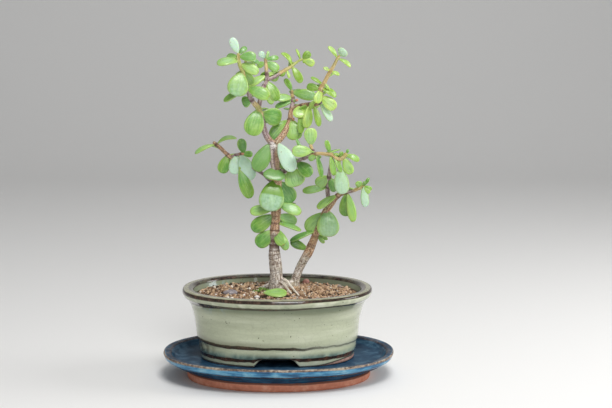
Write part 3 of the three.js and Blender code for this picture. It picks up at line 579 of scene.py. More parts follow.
# Soil
soilRings = [
    (0, 0, 27.5), (53.6, 35.6, 27.5), (57.2, 39, 30.3), (59.6, 41.2, 40), (61.2, 43.6, 54),
    (64.9, 48.4, 67), (61, 45, 67.5), (47, 34, 68.2), (33, 23, 69), (19, 13, 69.8), (0, 0, 70.2),
]
soil = {
    "squareness": pot["squareness"], "segments": 200, "spacing": 2, "softening": 1,
    "unevenness": 0.7, "waveLength": 5, "firstFine": 5, "lastFine": 10,
    "seed": 11, "grains": 6200, "batch": 50, "smallest": 0.45, "largest": 1.8,
    "halfWidth": 63.5, "halfDepth": 47,
    "blades": 420, "tufts": ((-11, -5), (-14, -1), (-8, 4), (-17, -9), (6, 12)),
}


# Less than 1 where a place lies within an oval about the pot's middle
def ovalShare(x, y, halfWidth, halfDepth):
    power = soil["squareness"]
    return abs((x - pot["centreX"]) / halfWidth) ** power + abs(y / halfDepth) ** power


# The soil's height at a place, as the mound has it
def soilHeight(x, y):
    wide, deep = soilRings[5][:2]
    away = ovalShare(x, y, wide, deep) ** (1 / soil["squareness"])
    for inner, outer in zip(soilRings[:5:-1], soilRings[-2:4:-1]):
        innerShare = inner[0] / wide
        outerShare = outer[0] / wide
        if away <= outerShare:
            share = (away - innerShare) / (outerShare - innerShare)
            return inner[2] + (outer[2] - inner[2]) * share
    return None


grainStops = [
    (0.0, "231c18"), (0.1, "4b3829"), (0.28, "80634a"), (0.42, "ab8a6a"), (0.58, "d0b492"),
    (0.7, "b48c78"), (0.8, "9a928a"), (0.9, "dccfbc"), (1.0, "f0eade"),
]


def soilPaint():
    paint = Paint("soilGrit", {"IOR": 1.4})
    spot = paint.spot()
    fine = paint.noise(spot, 1300, 4)
    coarse = paint.noise(spot, 260, 2)
    tone = paint.amount("tone") + (fine - 0.5) * 0.22 + (coarse - 0.5) * 0.12
    paint.colour = paint.ramp(tone, grainStops)
    paint.lay(fine.step(0.6, 0.72) * 0.4, "d8c8ac")
    paint.feed(roughness=0.78 + fine * 0.2)
    paint.relief(fine * 0.35 + coarse * 0.3)
    return paint.material


def buildSoil():
    bm = spinOval(soilRings, soil, pot["centreX"])
    ripple(bm, soil["unevenness"], soil["waveLength"], 3, lambda co: co.z > 67.3)
    toneLayer = bm.verts.layers.float.new("tone")
    for vert in bm.verts:
        vert[toneLayer] = 0.08 + 0.12 * noise.noise(vert.co / 3)
    grit = soilPaint()
    finish(bm, "soilBed", grit, "soil_bed")

    bm = bmesh.new()
    bm.verts.layers.float.new("tone")
    chance = random.Random(soil["seed"])
    clear = clearPlaces()
    for start in range(0, soil["grains"], soil["batch"]):
        addGrains(bm, soil["batch"], clear, chance)
    finish(bm, "soilGrains", grit)


# Where no grain lies, each (place, distance): along the bare roots, on the stones and the leaf
def clearPlaces():
    clear = []
    for number in trunk["bareRoots"]:
        root = Stem(trunk["stems"][number])
        clear += [(root.samples[i], root.radius(i / stemSteps) + 0.3) for i in range(0, stemSteps + 1, 4)]
    for stone in stones.values():
        for share in (-0.6, -0.3, 0, 0.3, 0.6):
            place = Vector(stone["place"]) + Vector((stone["half"][0] * share, 0, 0.5))
            clear.append((place, stone["half"][1]))
    for share in range(7):
        clear.append((Vector((-11 + share * 2.8, -22, 71.4)), 3.8))
    return clear


# A batch of grains, made apart and then added, which is much quicker
def addGrains(bm, count, clear, chance):
    batch = bmesh.new()
    toneLayer = batch.verts.layers.float.new("tone")
    while count > 0:
        x = pot["centreX"] + chance.uniform(-soil["halfWidth"], soil["halfWidth"])
        y = chance.uniform(-soil["halfDepth"], soil["halfDepth"])
        height = soilHeight(x, y)
        size = soil["smallest"] + (soil["largest"] - soil["smallest"]) * chance.random() ** 2.2
        edge = ovalShare(x, y, soil["halfWidth"] + 0.5 - size, soil["halfDepth"] + 0.4 - size)
        if height is None or edge > 1:
            continue
        count -= 1
        shape = [size * chance.uniform(0.75, 1.2) for i in range(3)]
        axis = Vector([chance.gauss(0, 1) for i in range(3)])
        turn = Matrix.Rotation(chance.uniform(0, math.tau), 4, axis)
        centre = Vector((x, y, height - 0.1 + size * chance.uniform(-0.45, 0.3)))
        if any((centre - place).length < room + size * 0.7 for place, room in clear):
            continue
        matrix = Matrix.Translation(centre) @ turn @ Matrix.Diagonal((*shape, 1))
        grain = bmesh.ops.create_icosphere(batch, subdivisions=1, radius=1, matrix=matrix)["verts"]
        tone = grainTone(chance, x, y)
        for vert in grain:
            vert.co = centre + (vert.co - centre) * chance.uniform(0.78, 1.12)
            vert[toneLayer] = tone
    gather(bm, batch)


# Moss: short blades in a few tufts beside the trunk
def buildMoss():
    paint = Paint("moss", {"Roughness": 0.7, "IOR": 1.4})
    tone = paint.amount("tone") + paint.noise(paint.spot(), 900, 2) * 0.3
    paint.colour = paint.ramp(tone, [(0.2, "4a6a2a"), (0.6, "7fa445"), (1.0, "b6cf76")])
    paint.feed()
    bm = bmesh.new()
    toneLayer = bm.verts.layers.float.new("tone")
    chance = random.Random(soil["seed"] + 1)
    for i in range(soil["blades"]):
        tuft = soil["tufts"][i % len(soil["tufts"])]
        x = tuft[0] + chance.gauss(0, 1.5)
        y = tuft[1] + chance.gauss(0, 1.1)
        lean = Matrix.Rotation(chance.gauss(0, 0.45), 4, "X") @ Matrix.Rotation(chance.gauss(0, 0.45), 4, "Y")
        tall = chance.uniform(0.9, 2.1)
        foot = Matrix.Translation((x, y, soilHeight(x, y) + 0.6))
        blade = bmesh.ops.create_cone(
            bm, cap_ends=True, segments=5, radius1=0.28, radius2=0.05, depth=tall,
            matrix=foot @ lean @ Matrix.Translation((0, 0, tall / 2)),
        )["verts"]
        shade = chance.random() * 0.6
        for vert in blade:
            vert[toneLayer] = shade
    finish(bm, "moss", paint.material)


# A grain's place in grainStops. At the back on the right lie a few black and white ones.
def grainTone(chance, x, y):
    pick = chance.random()
    if 34 < x < 44 and 34 < y < 46 and pick < 0.6:
        return chance.choice((0.02, 0.05, 0.98))
    if pick < 0.14:
        return chance.uniform(0.0, 0.14)
    if pick < 0.88:
        return chance.uniform(0.2, 0.68)
    if pick < 0.95:
        return chance.uniform(0.72, 0.88)
    return chance.uniform(0.9, 1.0)


# Stones
stones = {
    "stoneGrey": {"node": "stone_grey", "place": (-38, -8, 69.2),
                  "half": (6.2, 4.2, 2.9), "seed": 3, "colours": ("6b6266", "928a8c", "b5aead")},
    "stoneRed": {"node": "stone_red", "place": (22, 35, 69.6),
                 "half": (3.2, 2.8, 2.9), "seed": 5, "colours": ("7d4a40", "b27e72", "d0a296")},
    "stoneWhite": {"node": "stone_white", "place": (-16.5, -26, 69.2),
                   "half": (2.4, 2, 1.7), "seed": 8, "colours": ("b9b2ab", "d9d4cf", "f2efeb")},
}


def buildStones():
    for name, stone in stones.items():
        paint = Paint(name, {"IOR": 1.45})
        spot = paint.spot()
        fine = paint.noise(spot, 1500, 5)
        patch = paint.noise(spot, 300, 3)
        low, middle, high = stone["colours"]
        paint.colour = paint.ramp(fine * 0.5 + patch * 0.5, [(0.35, low), (0.5, middle), (0.65, high)])
        paint.feed(roughness=0.6 + fine * 0.35)
        paint.relief(fine * 0.3 + patch * 0.5)
        bm = bmesh.new()
        bmesh.ops.create_icosphere(bm, subdivisions=5, radius=1)
        shift = Vector((stone["seed"] * 3.7, 0, 0))
        for vert in bm.verts:
            spread = 0.9 + 0.16 * noise.noise(vert.co * 1.3 + shift) + 0.05 * noise.noise(vert.co * 5 + shift)
            vert.co = Vector([vert.co[i] * spread * stone["half"][i] for i in range(3)])
            vert.co += Vector(stone["place"])
        finish(bm, name, paint.material, stone["node"])


# Stems and leaves
# where the front view is seen from, which is also the camera's place
view = {"x": 22, "z": 345, "distance": 1400, "tilt": 8.35, "lens": 104.65}
leafShape = {
    "around": 20, "along": 16, "smallAround": 14, "smallAlong": 10, "largeFrom": 9.5,
    "channel": 0.1, "seed": 4,
}
bark = {
    "voxel": 0.42, "lump": 0.16, "fissure": 0.1, "stemLump": 0.05, "stemLumpSize": 1.2,
    "around": 18, "spacing": 0.5, "trunkAround": 32, "trunkSpacing": 0.7,
    "stalkLength": 10, "stalkRadius": 1.25, "jointReach": 4,
}
# the steps that a stem's path is sampled in, and those that are enough to choose between stems
stemSteps = 80
searchSteps = 40


# A point read in the front view, at a depth
def inView(x, z, depth):
    reach = (depth + view["distance"]) / view["distance"]
    return Vector((view["x"] + (x - view["x"]) * reach, depth, view["z"] + (z - view["z"]) * reach))


# A stem's path and radii. Each row is (x, z, depth, radius), as read in the front view.
class Stem:
    def __init__(self, rows):
        self.places = [inView(x, z, depth) for x, z, depth, radius in rows]
        self.radii = [row[3] for row in rows]
        self.samples = [self.place(i / stemSteps) for i in range(stemSteps + 1)]
        self.reached = [0.0]
        for before, after in zip(self.samples, self.samples[1:]):
            self.reached.append(self.reached[-1] + (after - before).length)
        self.length = self.reached[-1]

    # A smooth curve through the places, eased by how far apart they are
    def place(self, t):
        spans = len(self.places) - 1
        span = min(int(t * spans), spans - 1)
        near, far = self.places[span], self.places[span + 1]
        before = self.places[span - 1] if span > 0 else near * 2 - far
        after = self.places[span + 2] if span + 2 <= spans else far * 2 - near
        gap0, gap1, gap2 = [
            (b - a).length ** 0.5 for a, b in ((before, near), (near, far), (far, after))
        ]
        leave = (near - before) / gap0 - (far - before) / (gap0 + gap1) + (far - near) / gap1
        arrive = (far - near) / gap1 - (after - near) / (gap1 + gap2) + (after - far) / gap2
        leave *= gap1
        arrive *= gap1
        s = t * spans - span
        cubic = near * 2 - far * 2 + leave + arrive
        square = far * 3 - near * 3 - leave * 2 - arrive
        return near + leave * s + square * s * s + cubic * s * s * s

    def radius(self, t):
        spans = len(self.radii) - 1
        span = min(int(t * spans), spans - 1)
        share = t * spans - span
        return self.radii[span] * (1 - share) + self.radii[span + 1] * share

    # t at a distance along the stem
    def reach(self, distance):
        for i in range(1, len(self.reached)):
            if distance <= self.reached[i] or i == len(self.reached) - 1:
                share = (distance - self.reached[i - 1]) / (self.reached[i] - self.reached[i - 1])
                return min(1.0, (i - 1 + share) / stemSteps)

    # How near the stem comes to a point of the front view, and where
    def nearest(self, x, z, steps):
        found = [self.place(i / steps) for i in range(steps)]
        gaps = [(inView(x, z, place.y) - place).length for place in found]
        least = min(gaps)
        return least, found[gaps.index(least)]


# The value at a share along a list of (share, value)
def between(stops, share):
    for (start, first), (end, last) in zip(stops, stops[1:]):
        if share <= end:
            return first + (last - first) * (share - start) / (end - start)
    return stops[-1][1]


# The raw end of a shoot that was cut off, towards the front of its stem
def addScar(bm, place):
    kindLayer = bm.verts.layers.float_vector["stemKind"]
    matrix = Matrix.Translation(place + Vector((0, -0.9, 0.2))) @ Matrix.Diagonal((1.1, 0.9, 1.0, 1))
    for vert in bmesh.ops.create_icosphere(bm, subdivisions=3, radius=1.15, matrix=matrix)["verts"]:
        vert[kindLayer] = (2, 0, 0)


# Sweeps a round, blunt-ended tube along a stem, with a small swelling at each joint
def sweepStem(bm, stem, around, spacing, joints=(), ages=((0, 1),), swelling=0.14):
    spotLayer = vectorLayer(bm, "stemAt")
    kindLayer = vectorLayer(bm, "stemKind")
    blunt = min(stem.radius(1), stem.length / 3)
    caps = [blunt * (1 - math.cos(math.pi / 2 * i / 5)) for i in range(6)]
    steps = max(2, round((stem.length - 2 * blunt) / spacing))
    middle = [blunt + (stem.length - 2 * blunt) * i / steps for i in range(1, steps)]
    stops = caps + middle + [stem.length - cap for cap in reversed(caps)]
    made = bmesh.ops.create_grid(bm, x_segments=around, y_segments=len(stops) - 1, size=1)["verts"]
    rings = []
    side = None
    for distance in stops:
        t = stem.reach(distance)
        place = stem.place(t)
        ahead = (stem.place(min(1, t + 0.004)) - stem.place(max(0, t - 0.004))).normalized()
        if side is None:
            side = ahead.orthogonal()
        side = (side - ahead * side.dot(ahead)).normalized()
        left = min(distance, stem.length - distance)
        roundness = math.sqrt(max(0, 1 - (1 - min(1, left / blunt)) ** 2))
        swell = sum(math.exp(-(((distance - joint) / 0.9) ** 2)) for joint in joints)
        radius = stem.radius(t) * roundness * (1 + swelling * min(1.0, swell))
        rings.append((place, side, ahead.cross(side), radius, distance, min(1.0, swell)))
    for vert in made:
        angle = math.pi * (vert.co.x + 1)
        row = round((vert.co.y + 1) / 2 * (len(stops) - 1))
        place, side, deep, radius, distance, swell = rings[row]
        reach = side * math.cos(angle) + deep * math.sin(angle)
        vert.co = place + reach * radius
        vert[spotLayer] = (math.cos(angle) * radius, math.sin(angle) * radius, distance)
        share = distance / stem.length
        vert[kindLayer] = (between(ages, share), swell, 0)


# The share of its full width, and of its full thickness, that a leaf has at t, from 0 at its root
# to 1 at its tip. Each is divided by what it comes to at its widest.
def leafOutline(t):
    return t ** 0.8 * (1 - t) ** 0.45 / 0.4418


def leafSwell(t):
    return t ** 0.4 * (1 - t) ** 0.3 / 0.6153


# A fleshy leaf from root to tip, its face towards `face`
def addLeaf(bm, root, tip, face, width, bow, kind, chance):
    atLayer = vectorLayer(bm, "leafAt")
    kindLayer = vectorLayer(bm, "leafKind")
    along = tip - root
    length = along.length
    side = along.cross(face).normalized()
    normal = side.cross(along).normalized()
    thickness = 1 + 0.06 * length
    isLarge = length > leafShape["largeFrom"]
    around = leafShape["around"] if isLarge else leafShape["smallAround"]
    rings = leafShape["along"] if isLarge else leafShape["smallAlong"]
    made = bmesh.ops.create_uvsphere(bm, u_segments=around, v_segments=rings, radius=1)["verts"]
    tone = chance.random()
    lean = chance.uniform(-0.35, 0.35)
    wave = chance.uniform(0, 10)
    for vert in made:
        t = (1 - max(-1, min(1, vert.co.z))) / 2
        turn = math.atan2(vert.co.y, vert.co.x)
        across = math.copysign(abs(math.cos(turn)) ** 0.7, math.cos(turn))
        isEnd = t < 1e-5 or t > 1 - 1e-5
        outline = 0 if isEnd else leafOutline(t)
        swell = 0 if isEnd else leafSwell(t)
        uneven = 1 - 0.035 * (0.5 + 0.5 * math.sin(wave + 7 * t + 2 * across))
        rise = math.sin(turn) * swell
        channel = leafShape["channel"] * swell * math.exp(-((across / 0.35) ** 2)) if rise > 0 else 0
        vert.co = root + along * t
        vert.co += side * across * width * outline * uneven / 2
        vert.co += normal * ((rise - channel) * thickness / 2 + bow * 4 * t * (1 - t))
        vert.co += normal * lean * across * outline * t * 0.5
        vert[atLayer] = (0 if isEnd else across, t, tone)
        vert[kindLayer] = kind


# A leaf from its row, and where its root came to lie. The nearest stem carries it.
def addViewedLeaf(bm, stems, row, kind, chance):
    rootX, rootZ, tipX, tipZ, out, width = row[:6]
    roll = row[6] if len(row) > 6 else 0
    bow = row[7] if len(row) > 7 else 0.6
    gaps = [stem.nearest(rootX, rootZ, searchSteps)[0] for stem in stems]
    nearest = stems[gaps.index(min(gaps))].nearest(rootX, rootZ, stemSteps)[1]
    root = nearest.lerp(inView(rootX, rootZ, nearest.y), 0.4)
    tip = inView(tipX, tipZ, nearest.y - out)
    along = (tip - root).normalized()
    toFront = (Vector((view["x"], -view["distance"], view["z"])) - tip).normalized()
    aside = along.cross(toFront).normalized()
    facing = aside.cross(along).normalized()
    isDownward = aside.z < 0 if abs(aside.z) > 0.3 else aside.x < 0
    turn = math.radians(roll)
    face = facing * math.cos(turn) + aside * math.sin(turn) * (-1 if isDownward else 1)
    addLeaf(bm, root, tip, face, width, bow, kind, chance)
    return root


# The far side's leaves, in pairs that lean to either side of straight back
def addRearLeaves(bm, stem, group, kind, chance):
    count, length, width, start, end, seed = group
    for i in range(count):
        t = start + (end - start) * (i + 0.5) / count
        root = stem.place(t)
        lean = (-1 if i % 2 == 0 else 1) * (0.25 + 0.9 * draw(seed + i))
        droop = -0.9 + 1.2 * draw(seed + i + 50)
        reach = length * (0.8 + 0.35 * draw(seed + i + 90))
        way = Vector((math.sin(lean), math.cos(lean), droop)).normalized()
        face = Vector((-0.3 * way.x, 0.25, 1))
        addLeaf(bm, root, root + way * reach, face, width * reach / length, 0.8, kind, chance)


def leafPaint():
    constants = {
        "IOR": 1.45, "Coat Weight": 0.45, "Coat Roughness": 0.2,
        "Subsurface Weight": 0.2, "Subsurface Scale": 0.002, "Subsurface Radius": (0.6, 1.0, 0.2),
    }
    paint = Paint("leafSkin", constants)
    spot = paint.spot()
    across, t, tone = paint.parts(paint.attribute("leafAt"))
    young, bloomSheenAndShade, shade = paint.parts(paint.attribute("leafKind"))
    broad = paint.noise(spot, 110, 2)
    mottle = paint.noise(spot, 420, 4)
    cells = paint.noise(spot, 2600, 2)
    along = paint.noise(paint.stretched(paint.attribute("leafAt"), (3.2, 0.9, 9)), 2.4, 4, 0.5)
    mixed = tone * 0.6 + broad * 0.3 + along * 0.15 - 0.03
    body = paint.ramp(mixed, [(0.16, "3f7a26"), (0.36, "60a036"), (0.56, "85b850"), (0.78, "b0d87a")])
    fresh = paint.ramp(mixed, [(0.25, "88ac22"), (0.5, "aecf3e"), (0.75, "d4e872")])
    paint.colour = paint.blend(young, body, fresh)
    # yellower and bluer regions of the tree
    region = paint.noise(spot, 48, 1)
    paint.lay(region.step(0.5, 0.62) * 0.4, "a4c84c")
    paint.lay((1 - region.step(0.38, 0.5)) * (1 - young) * 0.45, "82b97c")
    # paler towards the margin and the waist, greyer and cooler in the middle, where it is partly a painted
    # sheen
    heartAndSheen = (1 - abs(across).step(0.1, 0.8)) * t.band(0.3, 0.8, 0.2)
    paint.lay(heartAndSheen * tone.step(0.2, 0.9) * 0.45, "9cc692")
    margin = abs(across).step(0.66, 0.99)
    paint.lay(margin * 0.6, "bcd480")
    waist = 1 - t.step(0.02, 0.22)
    paint.lay(waist * 0.55, "c6cf86")
    crease = abs(across + (broad - 0.5) * 0.16)
    vein = (1 - crease.step(0.0, 0.09)) * (1 - t.step(0.45, 0.9))
    paint.lay(vein * 0.3, "bcd398")
    paint.lay(along.step(0.52, 0.66) * 0.3, "b3d678")
    paint.lay((1 - along.step(0.36, 0.48)) * 0.4, "528c36")
    paint.lay(mottle.step(0.5, 0.66) * 0.25, "aed085")
    # painted shade: the lower leaves are darker, as if less light reached them
    lowerLeafShade = 1 - paint.parts(spot)[2].step(0.13, 0.235)
    paint.lay(lowerLeafShade * 0.25, "c6d8ab", "MULTIPLY")
    # a value below 0 here darkens a leaf: painted shade on the trunk leaves that lie in shade, a plainer
    # green on the fallen leaf
    paint.lay((0 - bloomSheenAndShade).step(0.0, 1.0), "6c9c50")
    paint.lay(cells.step(0.58, 0.7) * 0.2, "cbdfae")
    blush = t.step(0.955, 1.0) * tone.step(0.35, 0.6)
    paint.lay(blush * 0.6, "b07c45")
    # the powdered leaves' pale bloom, which is partly a painted sheen
    powderSheenLevel = bloomSheenAndShade + (mottle - 0.5) * 0.5 - margin * 0.35 + (t - 0.5) * 0.3
    powderAndSheen = powderSheenLevel.step(0.1, 1.25)
    paint.lay(powderAndSheen * 0.85, "cee9d8")
    pastShade = t - shade + (broad - 0.5) * 0.1
    shadow = (1 - pastShade.step(-0.03, 0.03)) * shade.step(0.0, 0.02)
    paint.lay(shadow * 0.9, "6f9c20")
    scuff = paint.noise(spot, 700, 2).step(0.66, 0.72) * tone.step(0.3, 0.8)
    paint.lay(scuff * 0.6, "8a7a44")
    paint.feed(roughness=0.32 + mottle * 0.14 + powderAndSheen * 0.2)
    paint.relief(mottle * 0.08 + cells * 0.04 - vein * 0.06 + broad * 0.14)
    return paint.material


# The wood goes by age: 0 a fresh yellow-green tip, 0.25 golden tan, 0.5 mauve-brown, 0.75 brown,
# 1 pale grey-brown bark. Below 0 it is a leaf's green foot.
def barkPaint():
    paint = Paint("barkSkin", {"IOR": 1.45, "Coat Weight": 0.12, "Coat Roughness": 0.4})
    spot = paint.spot()
    at = paint.attribute("stemAt")
    age, swell = paint.parts(paint.attribute("stemKind"))[:2]
    streak = paint.noise(paint.stretched(at, (1.0, 1.0, 0.16)), 0.95, 5, 0.4)
    fine = paint.noise(paint.stretched(at, (1.0, 1.0, 0.4)), 2.2, 5)
    dash = paint.noise(paint.stretched(at, (0.7, 0.7, 1.3)), 1.0, 4, 0.3)
    cross = paint.noise(paint.stretched(at, (0.16, 0.16, 1.0)), 1.0, 4, 0.3)
    patch = paint.noise(spot, 140, 3)
    mixed = streak * 0.6 + fine * 0.4
    fresh = paint.ramp(mixed, [(0.3, "93a04f"), (0.5, "b5bd6c"), (0.7, "d2d594")])
    tan = paint.ramp(mixed, [(0.32, "a8884e"), (0.48, "cfb278"), (0.66, "ebdcae")])
    mauve = paint.ramp(mixed, [(0.34, "5f474e"), (0.46, "957a7e"), (0.56, "bba7a4"), (0.68, "e3d8d3")])
    brown = paint.ramp(mixed, [(0.34, "6d4835"), (0.45, "a97c5b"), (0.54, "d0a884"), (0.64, "efd8bb")])
    grey = paint.ramp(mixed, [(0.36, "5c473c"), (0.43, "a4917e"), (0.5, "d3c6b6"), (0.58, "faf5ee")])
    cream = paint.ramp(mixed, [(0.34, "b09e88"), (0.46, "e0d6c2"), (0.6, "f8f3e8")])
    worn = age + (patch - 0.5) * 0.3
    paint.colour = paint.blend(worn.step(0.06, 0.2), fresh, tan)
    paint.lay(worn.step(0.3, 0.44), mauve)
    paint.lay(worn.step(0.56, 0.7), brown)
    paint.lay(worn.step(0.8, 0.95), grey)
    paint.lay(age.step(1.14, 1.26), cream)
    old = age.step(0.8, 1.0) * (1 - age.step(1.14, 1.26))
    paint.lay(cross.step(0.55, 0.6) * old * 0.7, "58443a")
    # the upper trunk's long stripes, pale at the left, dark in the middle, olive at the right; the pale ones
    # are partly a painted highlight
    core = paint.distance(paint.stretched(spot, (1, 1, 0)), (-0.0032, 0, 0))
    upper = paint.parts(spot)[2].band(0.162, 0.187, 0.003) * (1 - core.step(0.0048, 0.006))
    side = paint.parts(at)[0] / 8.4 + 0.5 + (streak - 0.5) * 0.25
    stripesAndHighlight = paint.ramp(side, [
        (0.0, "7a5a62"), (0.12, "8d6f72"), (0.2, "cbb9b5"), (0.34, "d9ccc6"), (0.44, "57404c"),
        (0.54, "4f3b40"), (0.64, "7d6650"), (0.84, "8f765c"), (0.92, "c79a92"), (1.0, "cf9f9d"),
    ])
    paint.lay(upper * 0.8, stripesAndHighlight)
    fork = 1 - paint.distance(spot, (-0.0046, -0.0036, 0.1868)).step(0.002, 0.0034)
    paint.lay(fork * 0.8, "e6deda")
    lichen = patch.step(0.54, 0.66) * age.step(0.6, 0.75) * 0.3
    paint.lay(lichen, "979363")
    flecks = dash.step(0.55, 0.62) * age.step(0.3, 0.7) * (1 - age.step(1.12, 1.22))
    paint.lay(flecks * 0.75, "5b3f30")
    chips = fine.step(0.54, 0.62) * age.step(0.6, 0.95)
    paint.lay(chips * 0.6, "f1e9dd")
    paint.lay(swell * age.step(0.15, 0.4) * (0.45 + fine * 0.6), "5a3a30")
    paint.colour = paint.blend(age.step(-0.3, -0.1), "a3c06a", paint.colour)
    paint.lay(age.step(1.4, 1.6), "c98f74")
    paint.feed(roughness=0.42 + streak * 0.35)
    paint.relief(streak * 0.9 + fine * 0.45 + dash * 0.3)
    return paint.material


# A spray's leaves, then its wood, with a joint wherever a leaf stands on it
def buildSpray(name, plant, chance):
    stems = [Stem(rows) for rows in plant["stems"]]
    leaves = bmesh.new()
    roots = []
    young = plant["young"]
    for i, row in enumerate(plant["leaves"]):
        kind = (young, plant["bloomSheenAndShade"].get(i, 0), 0)
        roots.append(addViewedLeaf(leaves, stems, row, kind, chance))
    for group in plant["rear"]:
        addRearLeaves(leaves, stems[0], group, (young * 0.7, 0, 0), chance)
    finish(leaves, name + "Leaves", leafSkin, plant["node"])
    wood = bmesh.new()
    for stem in stems:
        isStalk = stem.length < bark["stalkLength"] and max(stem.radii) < bark["stalkRadius"]
        joints = []
        for root in roots:
            gaps = [(place - root).length for place in stem.samples]
            if min(gaps) < bark["jointReach"]:
                joints.append(stem.reached[gaps.index(min(gaps))])
        ages = ((0, -0.5),) if isStalk else plant["ages"]
        sweepStem(wood, stem, bark["around"], bark["spacing"], joints, ages)
    for x, z in plant["scars"]:
        gaps = [stem.nearest(x, z, stemSteps) for stem in stems]
        addScar(wood, min(gaps, key=lambda gap: gap[0])[1])
    mend(wood)
    roughen(wood, bark["stemLump"], bark["stemLumpSize"])
    finish(wood, name + "Stems", barkSkin, plant["node"])


# Small lumps along the wood, drawn out lengthways
def roughen(bm, height, size):
    bm.normal_update()
    for vert in bm.verts:
        flat = Vector((vert.co.x, vert.co.y, vert.co.z * 0.4)) / size
        vert.co += vert.normal * height * (noise.noise(flat) - 0.4)


# The trunks and roots, knit into one skin
def knitTrunk(stems):
    wood = bmesh.new()
    for stem in stems:
        sweepStem(wood, stem, bark["trunkAround"], bark["trunkSpacing"], swelling=0)
    mend(wood)
    raw = makeObject(wood, "rawTrunk", 1)
    remesh = raw.modifiers.new("knit", "REMESH")
    remesh.mode = "VOXEL"
    remesh.voxel_size = bark["voxel"]
    settle(raw)
    bm = bmesh.new()
    bm.from_mesh(raw.data)
    bpy.data.objects.remove(raw)
    bmesh.ops.smooth_vert(bm, verts=bm.verts, factor=0.5, use_axis_x=True, use_axis_y=True, use_axis_z=True)
    return bm


# The skin's bark: how old it is, its rings, lumps, furrows and scars
def wearTrunk(bm, stems, plant):
    atLayer = vectorLayer(bm, "stemAt")
    kindLayer = vectorLayer(bm, "stemKind")
    tree = KDTree(sum(len(stem.samples) for stem in stems))
    spots = []
    for stem in stems:
        for i, place in enumerate(stem.samples):
            tree.insert(place, len(spots))
            spots.append((stem, i))
    tree.balance()
    bm.normal_update()
    scars = trunkScars(stems[0], stems[1])
    for vert in bm.verts:
        place, index, gap = tree.find(vert.co)
        stem, i = spots[index]
        distance = stem.reached[i]
        ahead = stem.samples[min(stemSteps, i + 1)] - stem.samples[max(0, i - 1)]
        distance += (vert.co - place).dot(ahead.normalized())
        away = vert.co - place
        vert[atLayer] = (away.x, away.y, distance)
        number = stems.index(stem)
        ages = plant["ages"].get(number, plant["rootAges"])
        mark = 0
        for z, width, strength in plant["rings"].get(number, ()):
            mark = max(mark, strength * math.exp(-(((place.z - z) / width) ** 2)))
        vert[kindLayer] = (between(ages, i / stemSteps), mark, 0)
        grain = Vector((away.x, away.y, distance * 0.14)) / 1.5
        lumps = noise.noise(vert.co / 4.5) * bark["lump"] + noise.noise(grain) * bark["fissure"]
        lift = 0
        for scar, depth, width in scars:
            lift += depth * math.exp(-(((vert.co - scar).length / width) ** 2))
        vert.co += vert.normal * (lumps - 0.1 + lift)


def buildTrunk(plant, chance):
    stems = [Stem(rows) for rows in plant["stems"]]
    wood = knitTrunk(stems)
    wearTrunk(wood, stems, plant)
    finish(wood, "trunkWood", barkSkin, "trunk")
    leaves = bmesh.new()
    for i, row in enumerate(plant["leaves"]):
        kind = (plant["young"], plant["bloomSheenAndShade"].get(i, 0), plant["shade"].get(i, 0))
        addViewedLeaf(leaves, stems, row, kind, chance)
    for group in plant["rear"]:
        addRearLeaves(leaves, stems[0], group, (0, 0, 0), chance)
    finish(leaves, "trunkLeaves", leafSkin, "trunk")


# Rings and pits left by old leaves and cut shoots, each (place, height, width)
def trunkScars(upright, leaning):
    scars = []
    for z in (88, 97, 104, 117, 133, 143, 152, 163, 172, 180):
        near = min(upright.samples, key=lambda place: abs(place.z - z))
        scars.append((near + Vector((0, -3.4, 0)), 0.3, 1.6))
    for t in (0.25, 0.42, 0.55, 0.7, 0.85):
        scars.append((leaning.place(t) + Vector((0, -2.4, 0)), 0.25, 1.4))
    return scars
